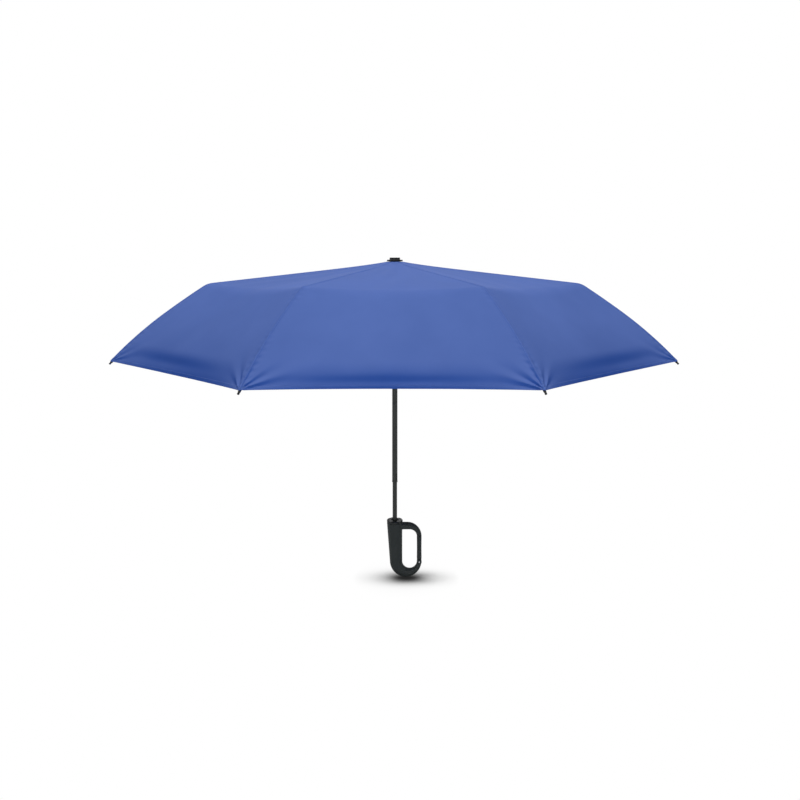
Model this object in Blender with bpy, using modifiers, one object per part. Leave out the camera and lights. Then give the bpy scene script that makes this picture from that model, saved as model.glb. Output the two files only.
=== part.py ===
"""Windproof folding umbrella, open: eight three-fold ribs on a telescopic shaft, with a carabiner handle.

The origin is the middle of the grip, on the shaft's axis. The shaft runs up +Z and the loop points to +X.
"""

import math

import bmesh
import bpy
from mathutils import Matrix, Vector

# Frame of ribs
RIB_COUNT = 8
RIB_SLOPE = math.radians(5.47)
TOP_RIB_LENGTH = 0.170
MIDDLE_RIB_LENGTH = 0.1596
OUTER_RIB_CHORD = 0.1909
OUTER_CHORD_SLOPE = math.radians(38.2)
OUTER_RIB_TURN = math.radians(18.0)
TIP_LENGTH = 0.0043
TIP_SWELL_SHARE = 1.15
TIP_TAPER_SHARE = 0.7
ROD_SOCKET_SHARE = 0.06

# Channel that the steel ribs are rolled from
CHANNEL_WIDTH = 0.0032
CHANNEL_HEIGHT = 0.0028
CHANNEL_WALL = 0.0004
TONGUE_WIDTH = 0.0016
MIDDLE_FORK_DEPTH = 0.0065
OUTER_FORK_DEPTH = 0.0060
ROD_RADIUS = 0.0012

# Pivots
PIN_RADIUS = 0.00045
PIN_CLEARANCE = 0.0003
EYE_RADIUS = 0.0013
FOLD_PIVOT_RISE = 0.00175
OUTER_PIVOT_DROP = 0.0029
STRETCHER_PIVOT = 0.088
STRETCHER_PIVOT_DROP = 0.0008
STRETCHER_HEIGHT = 0.0016
WIRE_HEEL = 0.0046
WIRE_HEEL_DROP = 0.0006
WIRE_LEVER = 0.0050
WIRE_LEVER_DROP = 0.0003
TIE_WIRE_RADIUS = 0.0005
TIE_EYE_RADIUS = 0.0011
TIE_WIRE_SIDE = 0.0024

# Shaft
LOWER_TUBE_RADIUS = 0.0042
TUBE_WALL = 0.0005
TUBE_CLEARANCE = 0.00025
LOWER_TUBE_SHOWN = 0.0705
MIDDLE_TUBE_SHOWN = 0.1960
TUBE_OVERLAP = 0.015
TUBE_ABOVE_NOTCH = 0.0115
TUBE_IN_GRIP = 0.045
SEAT_GAP = 0.0003
REST_GAP = 0.0005
CATCH_SLOT_RADIUS = 0.0012
CATCH_SLOT_LOW = 0.0045
CATCH_SLOT_LENGTH = 0.0105
CATCH_SLOT_TURN = math.radians(30.0)

# Notch and runner
NOTCH_PIVOT_RADIUS = 0.009
NOTCH_RADIUS = 0.0106
NOTCH_ABOVE = 0.0076
NOTCH_BELOW = 0.0032
SLOT_SIDE_GAP = 0.0003
RING_WIRE_RADIUS = 0.0004
RUNNER_PIVOT_RADIUS = 0.0083
RUNNER_DROP = 0.066
RUNNER_HEAD_RADIUS = 0.0099
RUNNER_HEAD_HALF = 0.003
RUNNER_SLEEVE_RADIUS = 0.0086
RUNNER_COLLAR_RADIUS = 0.0067
RUNNER_FOOT = 0.0103
RUNNER_COLLAR = 0.012

# Canopy
CLOTH_THICKNESS = 0.0008
HUB_HOLE_RADIUS = 0.0063
BEND_LIFT = 0.0028
ROOF_LIFT = 0.0064
TIP_LIFT = 0.0026
BEND_SAG = 0.0077
HEM_PULL = 0.0107
SKIRT_BELLY = 0.004
BEND_BLEND_SHARE = 0.4
HUB_CURVE = 12
SAG_CURVE = 1.5

# Ferrule cap
CAP_FLANGE_RADIUS = 0.0147
CAP_TOP_RADIUS = 0.0096
CAP_FLANGE_HEIGHT = 0.0026
CAP_HEIGHT = 0.0068
CAP_ROOF = 0.0020

# Handle
GRIP_TOP = 0.055
GRIP_TOP_RADIUS = 0.0146
CROWN_HEIGHT = 0.0038
POCKET_RADIUS = 0.0019
POCKET_PLACE = 0.0126
POCKET_DEPTH = 0.0028
LOOP_BACK_INNER = 0.0138
LOOP_FRONT_INNER = 0.0407
LOOP_INNER_TOP = 0.017
LOOP_LOW_CENTRE = 0.0758
GRIP_BASE_OUTER = 0.0092
LOOP_OUTER_RADIUS = 0.0294
LOOP_OUTER_CENTRE_X = 0.0202
LOOP_OUTER_CENTRE_DROP = 0.0753
ARM_TOP = 0.0041
ARM_TURN_X = 0.0235
ARM_OUTER_RADIUS = 0.0262
ARM_INNER_RADIUS = 0.013
GRIP_BASE_DEPTH = 0.0105
LOOP_DEPTH = 0.0080
BAR_HALF_WIDTH = 0.0045
BAR_DEPTH = 0.0054
LATCH_DROP = 0.0288
LATCH_SLANT = math.radians(19.0)
LOOP_END_TURN = math.radians(172.0)
GATE_WAIST_SHARE = 0.05
GATE_GAP = 0.0004
GATE_PIVOT_DROP = 0.0765
GATE_TONGUE_RADIUS = 0.0040
GATE_TONGUE_HALF = 0.0030
GATE_SLOT_GAP = 0.0004
GATE_PIN_RADIUS = 0.0010

# Small values that several pieces share
OVERRUN = 0.002
BITE = 0.0004
LAP = 0.0001
MERGE = 0.00001
TURN_STEPS = 32
RING_STEPS = 24
RING_WIRE_STEPS = 6
EYE_STEPS = 8
PIVOT_STEPS = 16
LOOP_SECTION_STEPS = 16
GORE_STEPS = 6
SMOOTH_ANGLE = math.radians(35.0)

# Sizes that follow from the ones above
MIDDLE_TUBE_RADIUS = LOWER_TUBE_RADIUS + TUBE_CLEARANCE + TUBE_WALL
TOP_TUBE_RADIUS = MIDDLE_TUBE_RADIUS + TUBE_CLEARANCE + TUBE_WALL
HOLE_RADIUS = PIN_RADIUS + PIN_CLEARANCE
CHANNEL_HALF = CHANNEL_WIDTH / 2
CHANNEL_INSIDE = CHANNEL_HALF - CHANNEL_WALL
SLOT_WIDTH = TONGUE_WIDTH + 2 * SLOT_SIDE_GAP
PIVOT_REACH = EYE_RADIUS + SLOT_SIDE_GAP

STRETCHER_TOP_RADIUS = (
    NOTCH_PIVOT_RADIUS
    + STRETCHER_PIVOT * math.cos(RIB_SLOPE)
    - STRETCHER_PIVOT_DROP * math.sin(RIB_SLOPE)
)
STRETCHER_TOP_DROP = STRETCHER_PIVOT * math.sin(RIB_SLOPE) + STRETCHER_PIVOT_DROP * math.cos(RIB_SLOPE)
STRETCHER_LENGTH = math.hypot(STRETCHER_TOP_RADIUS - RUNNER_PIVOT_RADIUS, RUNNER_DROP - STRETCHER_TOP_DROP)
STRETCHER_SLOPE = math.atan2(RUNNER_DROP - STRETCHER_TOP_DROP, STRETCHER_TOP_RADIUS - RUNNER_PIVOT_RADIUS)
RUNNER_CLOSED_DROP = STRETCHER_PIVOT + math.sqrt(
    STRETCHER_LENGTH**2 - (NOTCH_PIVOT_RADIUS - STRETCHER_PIVOT_DROP - RUNNER_PIVOT_RADIUS) ** 2
)
TOP_TUBE_BELOW_NOTCH = RUNNER_CLOSED_DROP + RUNNER_FOOT + REST_GAP
NOTCH_Z = GRIP_TOP + LOWER_TUBE_SHOWN + MIDDLE_TUBE_SHOWN + TOP_TUBE_BELOW_NOTCH
RUNNER_Z = NOTCH_Z - RUNNER_DROP
CLOTH_HUB_Z = NOTCH_Z + NOTCH_ABOVE + SEAT_GAP + CLOTH_THICKNESS
CAP_BASE_Z = CLOTH_HUB_Z + SEAT_GAP

SCENE = bpy.context.scene


def clear_scene():
    """Remove what the startup file holds."""
    for found in list(bpy.data.objects):
        bpy.data.objects.remove(found)


def new_collection(name, shown):
    """A collection in the scene, kept out of renders where it holds only cutters."""
    made = bpy.data.collections.new(name)
    SCENE.collection.children.link(made)
    made.hide_render = not shown
    return made


def plain_material(name, colour, roughness, metallic):
    """A Principled material."""
    made = bpy.data.materials.new(name)
    made.use_nodes = True
    shader = made.node_tree.nodes["Principled BSDF"]
    shader.inputs["Base Color"].default_value = (*colour, 1.0)
    shader.inputs["Roughness"].default_value = roughness
    shader.inputs["Metallic"].default_value = metallic
    return made


def new_object(name, mesh, material=None, parent=None, at=(0, 0, 0), turn=(0, 0, 0)):
    """An object of the umbrella, at a place and turn within its parent."""
    made = bpy.data.objects.new(name, mesh)
    PARTS.objects.link(made)
    made.parent = parent
    made.location = at
    made.rotation_euler = turn
    if material:
        mesh.materials.clear()
        mesh.materials.append(material)
    return made


def finished(bm):
    """The bmesh as a mesh, shaded smooth with sharp edges."""
    bmesh.ops.remove_doubles(bm, verts=bm.verts, dist=MERGE)
    bmesh.ops.recalc_face_normals(bm, faces=bm.faces)
    mesh = bpy.data.meshes.new("shape")
    bm.to_mesh(mesh)
    bm.free()
    mesh.shade_smooth()
    mesh.set_sharp_from_angle(angle=SMOOTH_ANGLE)
    return mesh


def box_mesh(low, high):
    """A box between two corners."""
    bm = bmesh.new()
    bmesh.ops.create_cube(bm, size=1)
    bmesh.ops.scale(bm, vec=[b - a for a, b in zip(low, high)], verts=bm.verts)
    bmesh.ops.translate(bm, vec=[(a + b) / 2 for a, b in zip(low, high)], verts=bm.verts)
    return finished(bm)


def rod_mesh(radius, start, end, steps):
    """A cylinder from one point to another."""
    start, end = Vector(start), Vector(end)
    bm = bmesh.new()
    bmesh.ops.create_cone(
        bm, cap_ends=True, segments=steps, radius1=radius, radius2=radius, depth=(end - start).length
    )
    turn = (end - start).to_track_quat("Z", "Y").to_matrix().to_4x4()
    bm.transform(Matrix.Translation((start + end) / 2) @ turn)
    return finished(bm)


def turned_mesh(profile, steps=TURN_STEPS):
    """A turned piece: its profile, outer side first and from the top down, screwed round Z."""
    bm = bmesh.new()
    places = [bm.verts.new((radius, 0, height)) for radius, height in profile]
    for here, there in zip(places, places[1:] + places[:1]):
        bm.edges.new((here, there))
    mesh = bpy.data.meshes.new("profile")
    bm.to_mesh(mesh)
    bm.free()
    made = new_object("turning", mesh)
    screw = made.modifiers.new("Screw", "SCREW")
    screw.steps = steps
    screw.render_steps = steps
    screw.use_merge_vertices = True
    screw.merge_threshold = MERGE
    screw.use_normal_calculate = True
    return baked(made)


def ring_mesh(radius, wire_radius, steps, wire_steps):
    """A ring of wire round Z."""
    profile = [
        (
            radius + wire_radius * math.cos(math.tau * n / wire_steps),
            -wire_radius * math.sin(math.tau * n / wire_steps),
        )
        for n in range(wire_steps)
    ]
    return turned_mesh(profile, steps)


def link_outline(first, first_radius, last, last_radius, steps=EYE_STEPS // 2):
    """A flat link's outline: two round ends joined by their common tangents."""
    first, last = Vector(first), Vector(last)
    along = last - first
    heading = math.atan2(along.y, along.x)
    spread = math.acos((first_radius - last_radius) / along.length)
    outline = []
    for centre, radius, start, sweep in (
        (last, last_radius, heading - spread, 2 * spread),
        (first, first_radius, heading + spread, math.tau - 2 * spread),
    ):
        for n in range(steps + 1):
            angle = start + sweep * n / steps
            outline.append(centre + radius * Vector((math.cos(angle), math.sin(angle))))
    return outline


def bar_outline(length, half_height, eye_radius):
    """A straight bar's outline with a round eye at each end."""
    lead = math.asin(half_height / eye_radius)
    outline = []
    for centre, start in ((length, lead - math.pi), (0, lead)):
        for n in range(EYE_STEPS + 1):
            angle = start + (math.tau - 2 * lead) * n / EYE_STEPS
            outline.append(Vector((centre + eye_radius * math.cos(angle), eye_radius * math.sin(angle))))
    return outline


def circle_outline(centre, radius, steps=EYE_STEPS):
    """A round hole's outline."""
    return [
        Vector(centre) + radius * Vector((math.cos(math.tau * n / steps), math.sin(math.tau * n / steps)))
        for n in range(steps)
    ]


def plate_mesh(outlines, thickness, side=0):
    """A plate that stands in the XZ plane: its outline and holes as a 2D curve, extruded along Y."""
    curve = bpy.data.curves.new("outline", "CURVE")
    curve.dimensions = "2D"
    curve.fill_mode = "BOTH"
    curve.extrude = thickness / 2
    for outline in outlines:
        spline = curve.splines.new("POLY")
        spline.points.add(len(outline) - 1)
        for point, place in zip(spline.points, outline):
            point.co = (place.x, place.y, 0, 1)
        spline.use_cyclic_u = True
    made = bpy.data.objects.new("plate", curve)
    PARTS.objects.link(made)
    mesh = baked(made)
    mesh.transform(Matrix.Translation((0, side, 0)) @ Matrix.Rotation(math.pi / 2, 4, "X"))
    return mesh


def baked(made):
    """The evaluated mesh of an object, which is then removed with its helpers."""
    bpy.context.view_layer.update()
    helpers = [found.object for found in made.modifiers if found.type == "BOOLEAN"]
    graph = bpy.context.evaluated_depsgraph_get()
    mesh = bpy.data.meshes.new_from_object(made.evaluated_get(graph))
    for found in [made, *helpers]:
        bpy.data.objects.remove(found)
    bm = bmesh.new()
    bm.from_mesh(mesh)
    bpy.data.meshes.remove(mesh)
    return finished(bm)


def add_boolean(made, mesh, operation):
    """Join a shape to an object, or cut it away, with a live Boolean on a hidden helper."""
    helper = bpy.data.objects.new(f"{made.name}_{operation.lower()}", mesh)
    CUTTERS.objects.link(helper)
    helper.parent = made.parent
    helper.location = made.location
    helper.rotation_euler = made.rotation_euler
    helper.hide_render = True
    helper.display_type = "WIRE"
    boolean = made.modifiers.new(operation.title(), "BOOLEAN")
    boolean.operation = operation
    boolean.object = helper


def combined(base, added=(), cut=()):
    """A mesh with others joined to it and others cut away."""
    made = new_object("pattern", base)
    for mesh in added:
        add_boolean(made, mesh, "UNION")
    for mesh in cut:
        add_boolean(made, mesh, "DIFFERENCE")
    return baked(made)


def lofted_mesh(sections, capped=True):
    """A skin through sections of as many points each, closed by caps or, uncapped, left open."""
    bm = bmesh.new()
    rings = [[bm.verts.new(place) for place in section] for section in sections]
    for upper, lower in zip(rings, rings[1:]):
        for n in range(len(upper)):
            after = (n + 1) % len(upper)
            bm.faces.new((upper[n], upper[after], lower[after], lower[n]))
    if capped:
        bm.faces.new(rings[0])
        bm.faces.new(rings[-1])
    return finished(bm)


def oval_section(outer, inner, half_depth):
    """An oval round the line from an outer to an inner point of the handle's side view."""
    outer, inner = Vector(outer), Vector(inner)
    middle, half = (outer + inner) / 2, (inner - outer) / 2
    section = []
    for n in range(LOOP_SECTION_STEPS):
        angle = math.tau * n / LOOP_SECTION_STEPS
        place = middle + half * math.cos(angle)
        section.append((place.x, half_depth * math.sin(angle), GRIP_TOP + place.y))
    return section


def mixed(first, last, share):
    """A value part of the way from one to another."""
    return first + (last - first) * share


# Handle


def grip_sections():
    """The grip's column, the round bottom of the loop and the short stub that carries the gate's hinge."""
    column_shares = (0, 0.2, 0.45, 0.72)
    bend_turn_shares = (0, 0.12, 0.25, 0.4, 0.55, 0.7, 0.85, 1)
    top = -CROWN_HEIGHT - SEAT_GAP
    base = -LOOP_LOW_CENTRE
    sections = []
    for share in column_shares:
        height = mixed(top, base, share)
        outer = (-mixed(GRIP_TOP_RADIUS, GRIP_BASE_OUTER, share), height)
        inner = (mixed(GRIP_TOP_RADIUS, LOOP_BACK_INNER, min(1, 4 * share)), height)
        sections.append(oval_section(outer, inner, mixed(GRIP_TOP_RADIUS, GRIP_BASE_DEPTH, share)))
    inner_radius = (LOOP_FRONT_INNER - LOOP_BACK_INNER) / 2
    inner_centre = Vector((LOOP_BACK_INNER + inner_radius, base))
    outer_centre = Vector((LOOP_OUTER_CENTRE_X, -LOOP_OUTER_CENTRE_DROP))
    for share in bend_turn_shares:
        angle = math.pi + LOOP_END_TURN * share
        ray = Vector((math.cos(angle), math.sin(angle)))
        depth = mixed(GRIP_BASE_DEPTH, LOOP_DEPTH, min(1, 2 * share))
        if share > 0.5:
            depth = mixed(LOOP_DEPTH, BAR_DEPTH, 2 * share - 1)
        sections.append(
            oval_section(outer_centre + LOOP_OUTER_RADIUS * ray, inner_centre + inner_radius * ray, depth)
        )
    return sections


def arm_sections():
    """The arm over the opening, from inside the column round the upper corner to the gate's latch."""
    sections = [
        oval_section((0, -ARM_TOP - BITE), (0, -LOOP_INNER_TOP + BITE), LOOP_DEPTH),
        oval_section((ARM_TURN_X / 2, -ARM_TOP), (ARM_TURN_X / 2, -LOOP_INNER_TOP), LOOP_DEPTH),
    ]
    outer_centre = Vector((ARM_TURN_X, -ARM_TOP - ARM_OUTER_RADIUS))
    inner_centre = Vector((LOOP_FRONT_INNER - ARM_INNER_RADIUS, -LOOP_INNER_TOP - ARM_INNER_RADIUS))
    turn_shares = (0, 0.2, 0.4, 0.6, 0.8)
    for share in turn_shares:
        angle = math.pi / 2 * (1 - share)
        ray = Vector((math.cos(angle), math.sin(angle)))
        depth = mixed(LOOP_DEPTH, BAR_DEPTH, share)
        sections.append(
            oval_section(outer_centre + ARM_OUTER_RADIUS * ray, inner_centre + ARM_INNER_RADIUS * ray, depth)
        )
    sections.append(latch_section(0))
    return sections


def bar_middle():
    """How far the gate's middle line lies from the shaft."""
    return LOOP_FRONT_INNER + BAR_HALF_WIDTH


def latch_section(gap):
    """The slanted face where the arm meets the gate, moved down by a gap."""
    rise = BAR_HALF_WIDTH * math.tan(LATCH_SLANT)
    middle = -LATCH_DROP - gap
    outer = (bar_middle() + BAR_HALF_WIDTH, middle - rise)
    inner = (bar_middle() - BAR_HALF_WIDTH, middle + rise)
    return oval_section(outer, inner, BAR_DEPTH)


def build_handle(root, plastic, dark_plastic, steel):
    """The grip with its loop, the crown that holds the rib tips, the gate and its pin."""
    pivot = Vector((bar_middle(), 0, GRIP_TOP - GATE_PIVOT_DROP))
    ear_half = BAR_DEPTH
    along_y = Vector((0, 1, 0))
    slot_radius = GATE_TONGUE_RADIUS + 2 * GATE_SLOT_GAP
    slot_half = GATE_TONGUE_HALF + GATE_SLOT_GAP
    grip = new_object("handle_grip", lofted_mesh(grip_sections()), plastic, root)
    ears = rod_mesh(BAR_HALF_WIDTH, pivot - along_y * ear_half, pivot + along_y * ear_half, PIVOT_STEPS)
    add_boolean(grip, lofted_mesh(arm_sections()), "UNION")
    add_boolean(grip, ears, "UNION")
    slot = rod_mesh(slot_radius, pivot - along_y * slot_half, pivot + along_y * slot_half, PIVOT_STEPS)
    hole_radius = GATE_PIN_RADIUS + PIN_CLEARANCE
    reach = along_y * (ear_half + OVERRUN)
    socket_radius = LOWER_TUBE_RADIUS + SEAT_GAP
    socket_floor = GRIP_TOP - TUBE_IN_GRIP - SEAT_GAP
    socket = rod_mesh(socket_radius, (0, 0, socket_floor), (0, 0, GRIP_TOP), TURN_STEPS)
    add_boolean(grip, slot, "DIFFERENCE")
    add_boolean(grip, rod_mesh(hole_radius, pivot - reach, pivot + reach, PIVOT_STEPS), "DIFFERENCE")
    add_boolean(grip, socket, "DIFFERENCE")

    chamfer = CROWN_HEIGHT / 5
    crown = turned_mesh(
        [
            (GRIP_TOP_RADIUS - chamfer, 0),
            (GRIP_TOP_RADIUS, -chamfer),
            (GRIP_TOP_RADIUS, -CROWN_HEIGHT),
            (socket_radius, -CROWN_HEIGHT),
            (socket_radius, 0),
        ]
    )
    crown_object = new_object("tip_crown", crown, dark_plastic, root, (0, 0, GRIP_TOP))
    for turn in rib_turns():
        outward = Vector((math.cos(turn), math.sin(turn), 0))
        seat = outward * POCKET_PLACE
        floor = Vector((0, 0, -POCKET_DEPTH))
        pocket = rod_mesh(POCKET_RADIUS, seat + floor, seat - floor, EYE_STEPS)
        mouth = box_mesh(
            (POCKET_PLACE, -POCKET_RADIUS, -POCKET_DEPTH),
            (GRIP_TOP_RADIUS + OVERRUN, POCKET_RADIUS, POCKET_DEPTH),
        )
        mouth.transform(Matrix.Rotation(turn, 4, "Z"))
        add_boolean(crown_object, pocket, "DIFFERENCE")
        add_boolean(crown_object, mouth, "DIFFERENCE")

    gate_sections = [latch_section(GATE_GAP)]
    bar_shares = (0.15, 0.4, 0.6, 0.8, 1)
    shoulder = GATE_PIVOT_DROP - BAR_HALF_WIDTH - GATE_SLOT_GAP * 2
    latch_drop = LATCH_DROP + GATE_GAP
    for share in bar_shares:
        height = -mixed(latch_drop, shoulder, share)
        waist = BAR_HALF_WIDTH * (1 - GATE_WAIST_SHARE * math.sin(math.pi * share))
        gate_sections.append(
            oval_section((bar_middle() + waist, height), (bar_middle() - waist, height), BAR_DEPTH)
        )
    bar = lofted_mesh(gate_sections)
    tongue_outline = link_outline(
        (0, 0), GATE_TONGUE_RADIUS, (0, BAR_HALF_WIDTH + OVERRUN), GATE_TONGUE_RADIUS, EYE_STEPS
    )
    tongue = plate_mesh([tongue_outline], 2 * GATE_TONGUE_HALF)
    bar.transform(Matrix.Translation(-pivot))
    gate_hole = rod_mesh(hole_radius, -reach, reach, PIVOT_STEPS)
    gate = new_object("carabiner_gate", bar, plastic, root, pivot)
    add_boolean(gate, tongue, "UNION")
    add_boolean(gate, gate_hole, "DIFFERENCE")
    pin_half = along_y * (ear_half - SEAT_GAP)
    new_object("gate_pin", rod_mesh(GATE_PIN_RADIUS, -pin_half, pin_half, PIVOT_STEPS), steel, root, pivot)


# Shaft


def tube_mesh(radius, low, high):
    """A thin tube between two heights."""
    inside = radius - TUBE_WALL
    return turned_mesh([(radius, high), (radius, low), (inside, low), (inside, high)])


def add_catch_slot(tube, radius):
    """The slot near a tube's lower end where the spring catch of the tube inside it shows."""
    low, high = (0, CATCH_SLOT_LOW), (0, CATCH_SLOT_LOW + CATCH_SLOT_LENGTH)
    outline = link_outline(low, CATCH_SLOT_RADIUS, high, CATCH_SLOT_RADIUS, EYE_STEPS)
    slot = plate_mesh([outline], radius, -radius)
    slot.transform(Matrix.Rotation(CATCH_SLOT_TURN, 4, "Z"))
    add_boolean(tube, slot, "DIFFERENCE")


def build_shaft(root, black_steel):
    """The three telescopic tubes, each with its origin at its own lower end."""
    lower = tube_mesh(LOWER_TUBE_RADIUS, 0, TUBE_IN_GRIP + LOWER_TUBE_SHOWN + TUBE_OVERLAP)
    new_object("lower_tube", lower, black_steel, root, (0, 0, GRIP_TOP - TUBE_IN_GRIP))
    middle = tube_mesh(MIDDLE_TUBE_RADIUS, 0, MIDDLE_TUBE_SHOWN + TUBE_OVERLAP)
    middle_z = GRIP_TOP + LOWER_TUBE_SHOWN
    middle_tube = new_object("middle_tube", middle, black_steel, root, (0, 0, middle_z))
    add_catch_slot(middle_tube, MIDDLE_TUBE_RADIUS)
    top = tube_mesh(TOP_TUBE_RADIUS, 0, TOP_TUBE_BELOW_NOTCH + TUBE_ABOVE_NOTCH)
    top_z = NOTCH_Z - TOP_TUBE_BELOW_NOTCH
    top_tube = new_object("top_tube", top, black_steel, root, (0, 0, top_z))
    add_catch_slot(top_tube, TOP_TUBE_RADIUS)


# Notch, runner and cap


def rib_turns():
    """The ribs' directions round the shaft: a whole panel faces the viewer."""
    return [math.tau * (n + 0.5) / RIB_COUNT for n in range(RIB_COUNT)]


def slot_meshes(inner, outer, low, high):
    """A radial slot for each rib or stretcher."""
    meshes = []
    for turn in rib_turns():
        slot = box_mesh((inner, -SLOT_WIDTH / 2, low), (outer, SLOT_WIDTH / 2, high))
        slot.transform(Matrix.Rotation(turn, 4, "Z"))
        meshes.append(slot)
    return meshes


def build_notch(root, plastic, steel):
    """The slotted disc that the top ribs hang in, on its ring of wire."""
    bore = TOP_TUBE_RADIUS + SEAT_GAP
    chamfer = NOTCH_BELOW / 4
    notch = turned_mesh(
        [
            (NOTCH_RADIUS - chamfer, NOTCH_ABOVE),
            (NOTCH_RADIUS, NOTCH_ABOVE - chamfer),
            (NOTCH_RADIUS, -NOTCH_BELOW),
            (bore, -NOTCH_BELOW),
            (bore, NOTCH_ABOVE),
        ],
        RING_STEPS,
    )
    made = new_object("top_notch", notch, plastic, root, (0, 0, NOTCH_Z))
    slots = slot_meshes(
        NOTCH_PIVOT_RADIUS - PIVOT_REACH, NOTCH_RADIUS + OVERRUN, -NOTCH_BELOW - OVERRUN, PIVOT_REACH + BITE
    )
    for slot in slots:
        add_boolean(made, slot, "DIFFERENCE")
    groove = RING_WIRE_RADIUS + PIN_CLEARANCE
    add_boolean(made, ring_mesh(NOTCH_PIVOT_RADIUS, groove, RING_STEPS, RING_WIRE_STEPS), "DIFFERENCE")
    wire = ring_mesh(NOTCH_PIVOT_RADIUS, RING_WIRE_RADIUS, RING_STEPS, RING_WIRE_STEPS)
    new_object("notch_wire", wire, steel, root, (0, 0, NOTCH_Z))


def build_runner(root, plastic, steel):
    """The runner that slides on the top tube; its open slots let each stretcher's end lift out."""
    bore = TOP_TUBE_RADIUS + TUBE_CLEARANCE
    runner = turned_mesh(
        [
            (RUNNER_COLLAR_RADIUS, RUNNER_COLLAR),
            (RUNNER_COLLAR_RADIUS, RUNNER_HEAD_HALF),
            (RUNNER_HEAD_RADIUS, RUNNER_HEAD_HALF),
            (RUNNER_HEAD_RADIUS, -RUNNER_HEAD_HALF),
            (RUNNER_SLEEVE_RADIUS, -RUNNER_HEAD_HALF - SEAT_GAP),
            (RUNNER_SLEEVE_RADIUS, -RUNNER_FOOT),
            (bore, -RUNNER_FOOT),
            (bore, RUNNER_COLLAR),
        ],
        RING_STEPS,
    )
    made = new_object("runner", runner, plastic, root, (0, 0, RUNNER_Z))
    slot_inner = RUNNER_PIVOT_RADIUS - PIVOT_REACH
    slots = slot_meshes(
        slot_inner, RUNNER_HEAD_RADIUS + OVERRUN, -PIVOT_REACH - BITE, RUNNER_HEAD_HALF + OVERRUN
    )
    for slot in slots:
        add_boolean(made, slot, "DIFFERENCE")
    groove = RING_WIRE_RADIUS + PIN_CLEARANCE
    add_boolean(made, ring_mesh(RUNNER_PIVOT_RADIUS, groove, RING_STEPS, RING_WIRE_STEPS), "DIFFERENCE")
    wire = ring_mesh(RUNNER_PIVOT_RADIUS, RING_WIRE_RADIUS, RING_STEPS, RING_WIRE_STEPS)
    new_object("runner_wire", wire, steel, root, (0, 0, RUNNER_Z))


def build_cap(root, plastic):
    """The domed cap over the shaft's top end, whose flange clamps the middle of the cloth."""
    bore = TOP_TUBE_RADIUS + SEAT_GAP
    cap = turned_mesh(
        [
            (0, CAP_HEIGHT),
            (CAP_TOP_RADIUS - CAP_ROOF / 4, CAP_HEIGHT),
            (CAP_TOP_RADIUS, CAP_HEIGHT - CAP_ROOF / 4),
            (CAP_TOP_RADIUS, CAP_FLANGE_HEIGHT + CAP_ROOF / 4),
            (CAP_TOP_RADIUS + CAP_ROOF / 4, CAP_FLANGE_HEIGHT),
            (CAP_FLANGE_RADIUS - CAP_FLANGE_HEIGHT / 2, CAP_FLANGE_HEIGHT),
            (CAP_FLANGE_RADIUS, CAP_FLANGE_HEIGHT / 2),
            (CAP_FLANGE_RADIUS, 0),
            (bore, 0),
            (bore, CAP_HEIGHT - CAP_ROOF),
            (0, CAP_HEIGHT - CAP_ROOF),
        ]
    )
    new_object("ferrule_cap", cap, plastic, root, (0, 0, CAP_BASE_Z))


# Ribs


def channel_mesh(start, end, floor_start, height_at=0, ears=()):
    """A U channel along X that opens downward, with ears; near its start only the side walls stand."""
    half = CHANNEL_HEIGHT / 2
    body = box_mesh((start, -CHANNEL_HALF, height_at - half), (end, CHANNEL_HALF, height_at + half))
    low, high = height_at - half - OVERRUN, height_at + half + 2 * OVERRUN
    ceiling = height_at + half - CHANNEL_WALL
    first, last = start - 4 * OVERRUN, end + OVERRUN
    groove = [Vector(place) for place in ((first, low), (last, low), (last, ceiling))]
    if floor_start > start:
        groove += [Vector((floor_start, ceiling)), Vector((floor_start, high)), Vector((first, high))]
    else:
        groove.append(Vector((first, ceiling)))
    return combined(body, added=ears, cut=[plate_mesh([groove], 2 * CHANNEL_INSIDE)])


def cross_pin(place, low, high, radius=PIN_RADIUS):
    """A pin along Y at an (x, z) place."""
    return rod_mesh(radius, (place[0], low, place[1]), (place[0], high, place[1]), EYE_STEPS)


def hole_cutter(place, radius=HOLE_RADIUS):
    """A cutter for a hole along Y at an (x, z) place."""
    return cross_pin(place, -CHANNEL_HALF - OVERRUN, CHANNEL_HALF + OVERRUN, radius)


def top_rib_mesh():
    """The top rib from its eye on the notch wire to its eye at the first fold."""
    channel_start = NOTCH_RADIUS - NOTCH_PIVOT_RADIUS + CHANNEL_HEIGHT
    wall_end = TOP_RIB_LENGTH - WIRE_HEEL + EYE_RADIUS
    root_length = channel_start + 2 * CHANNEL_HEIGHT
    inner_eye = plate_mesh([link_outline((0, 0), EYE_RADIUS, (root_length, 0), EYE_RADIUS)], TONGUE_WIDTH)
    wall_middle = CHANNEL_HEIGHT / 2 - CHANNEL_WALL
    outer_eye = plate_mesh(
        [
            link_outline(
                (wall_end - 2 * CHANNEL_HEIGHT, wall_middle),
                CHANNEL_WALL,
                (TOP_RIB_LENGTH, FOLD_PIVOT_RISE),
                EYE_RADIUS,
            )
        ],
        TONGUE_WIDTH,
    )
    stretcher_pin = cross_pin((STRETCHER_PIVOT, -STRETCHER_PIVOT_DROP), -CHANNEL_HALF, CHANNEL_HALF)
    pin_start, pin_end = CHANNEL_INSIDE + CHANNEL_WALL / 2, TIE_WIRE_SIDE + TIE_WIRE_RADIUS
    wire_pin = cross_pin((TOP_RIB_LENGTH - WIRE_HEEL, -WIRE_HEEL_DROP), pin_start, pin_end)
    return combined(
        channel_mesh(channel_start, wall_end, channel_start),
        added=[inner_eye, outer_eye, stretcher_pin, wire_pin],
        cut=[hole_cutter((0, 0)), hole_cutter((TOP_RIB_LENGTH, FOLD_PIVOT_RISE))],
    )


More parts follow.
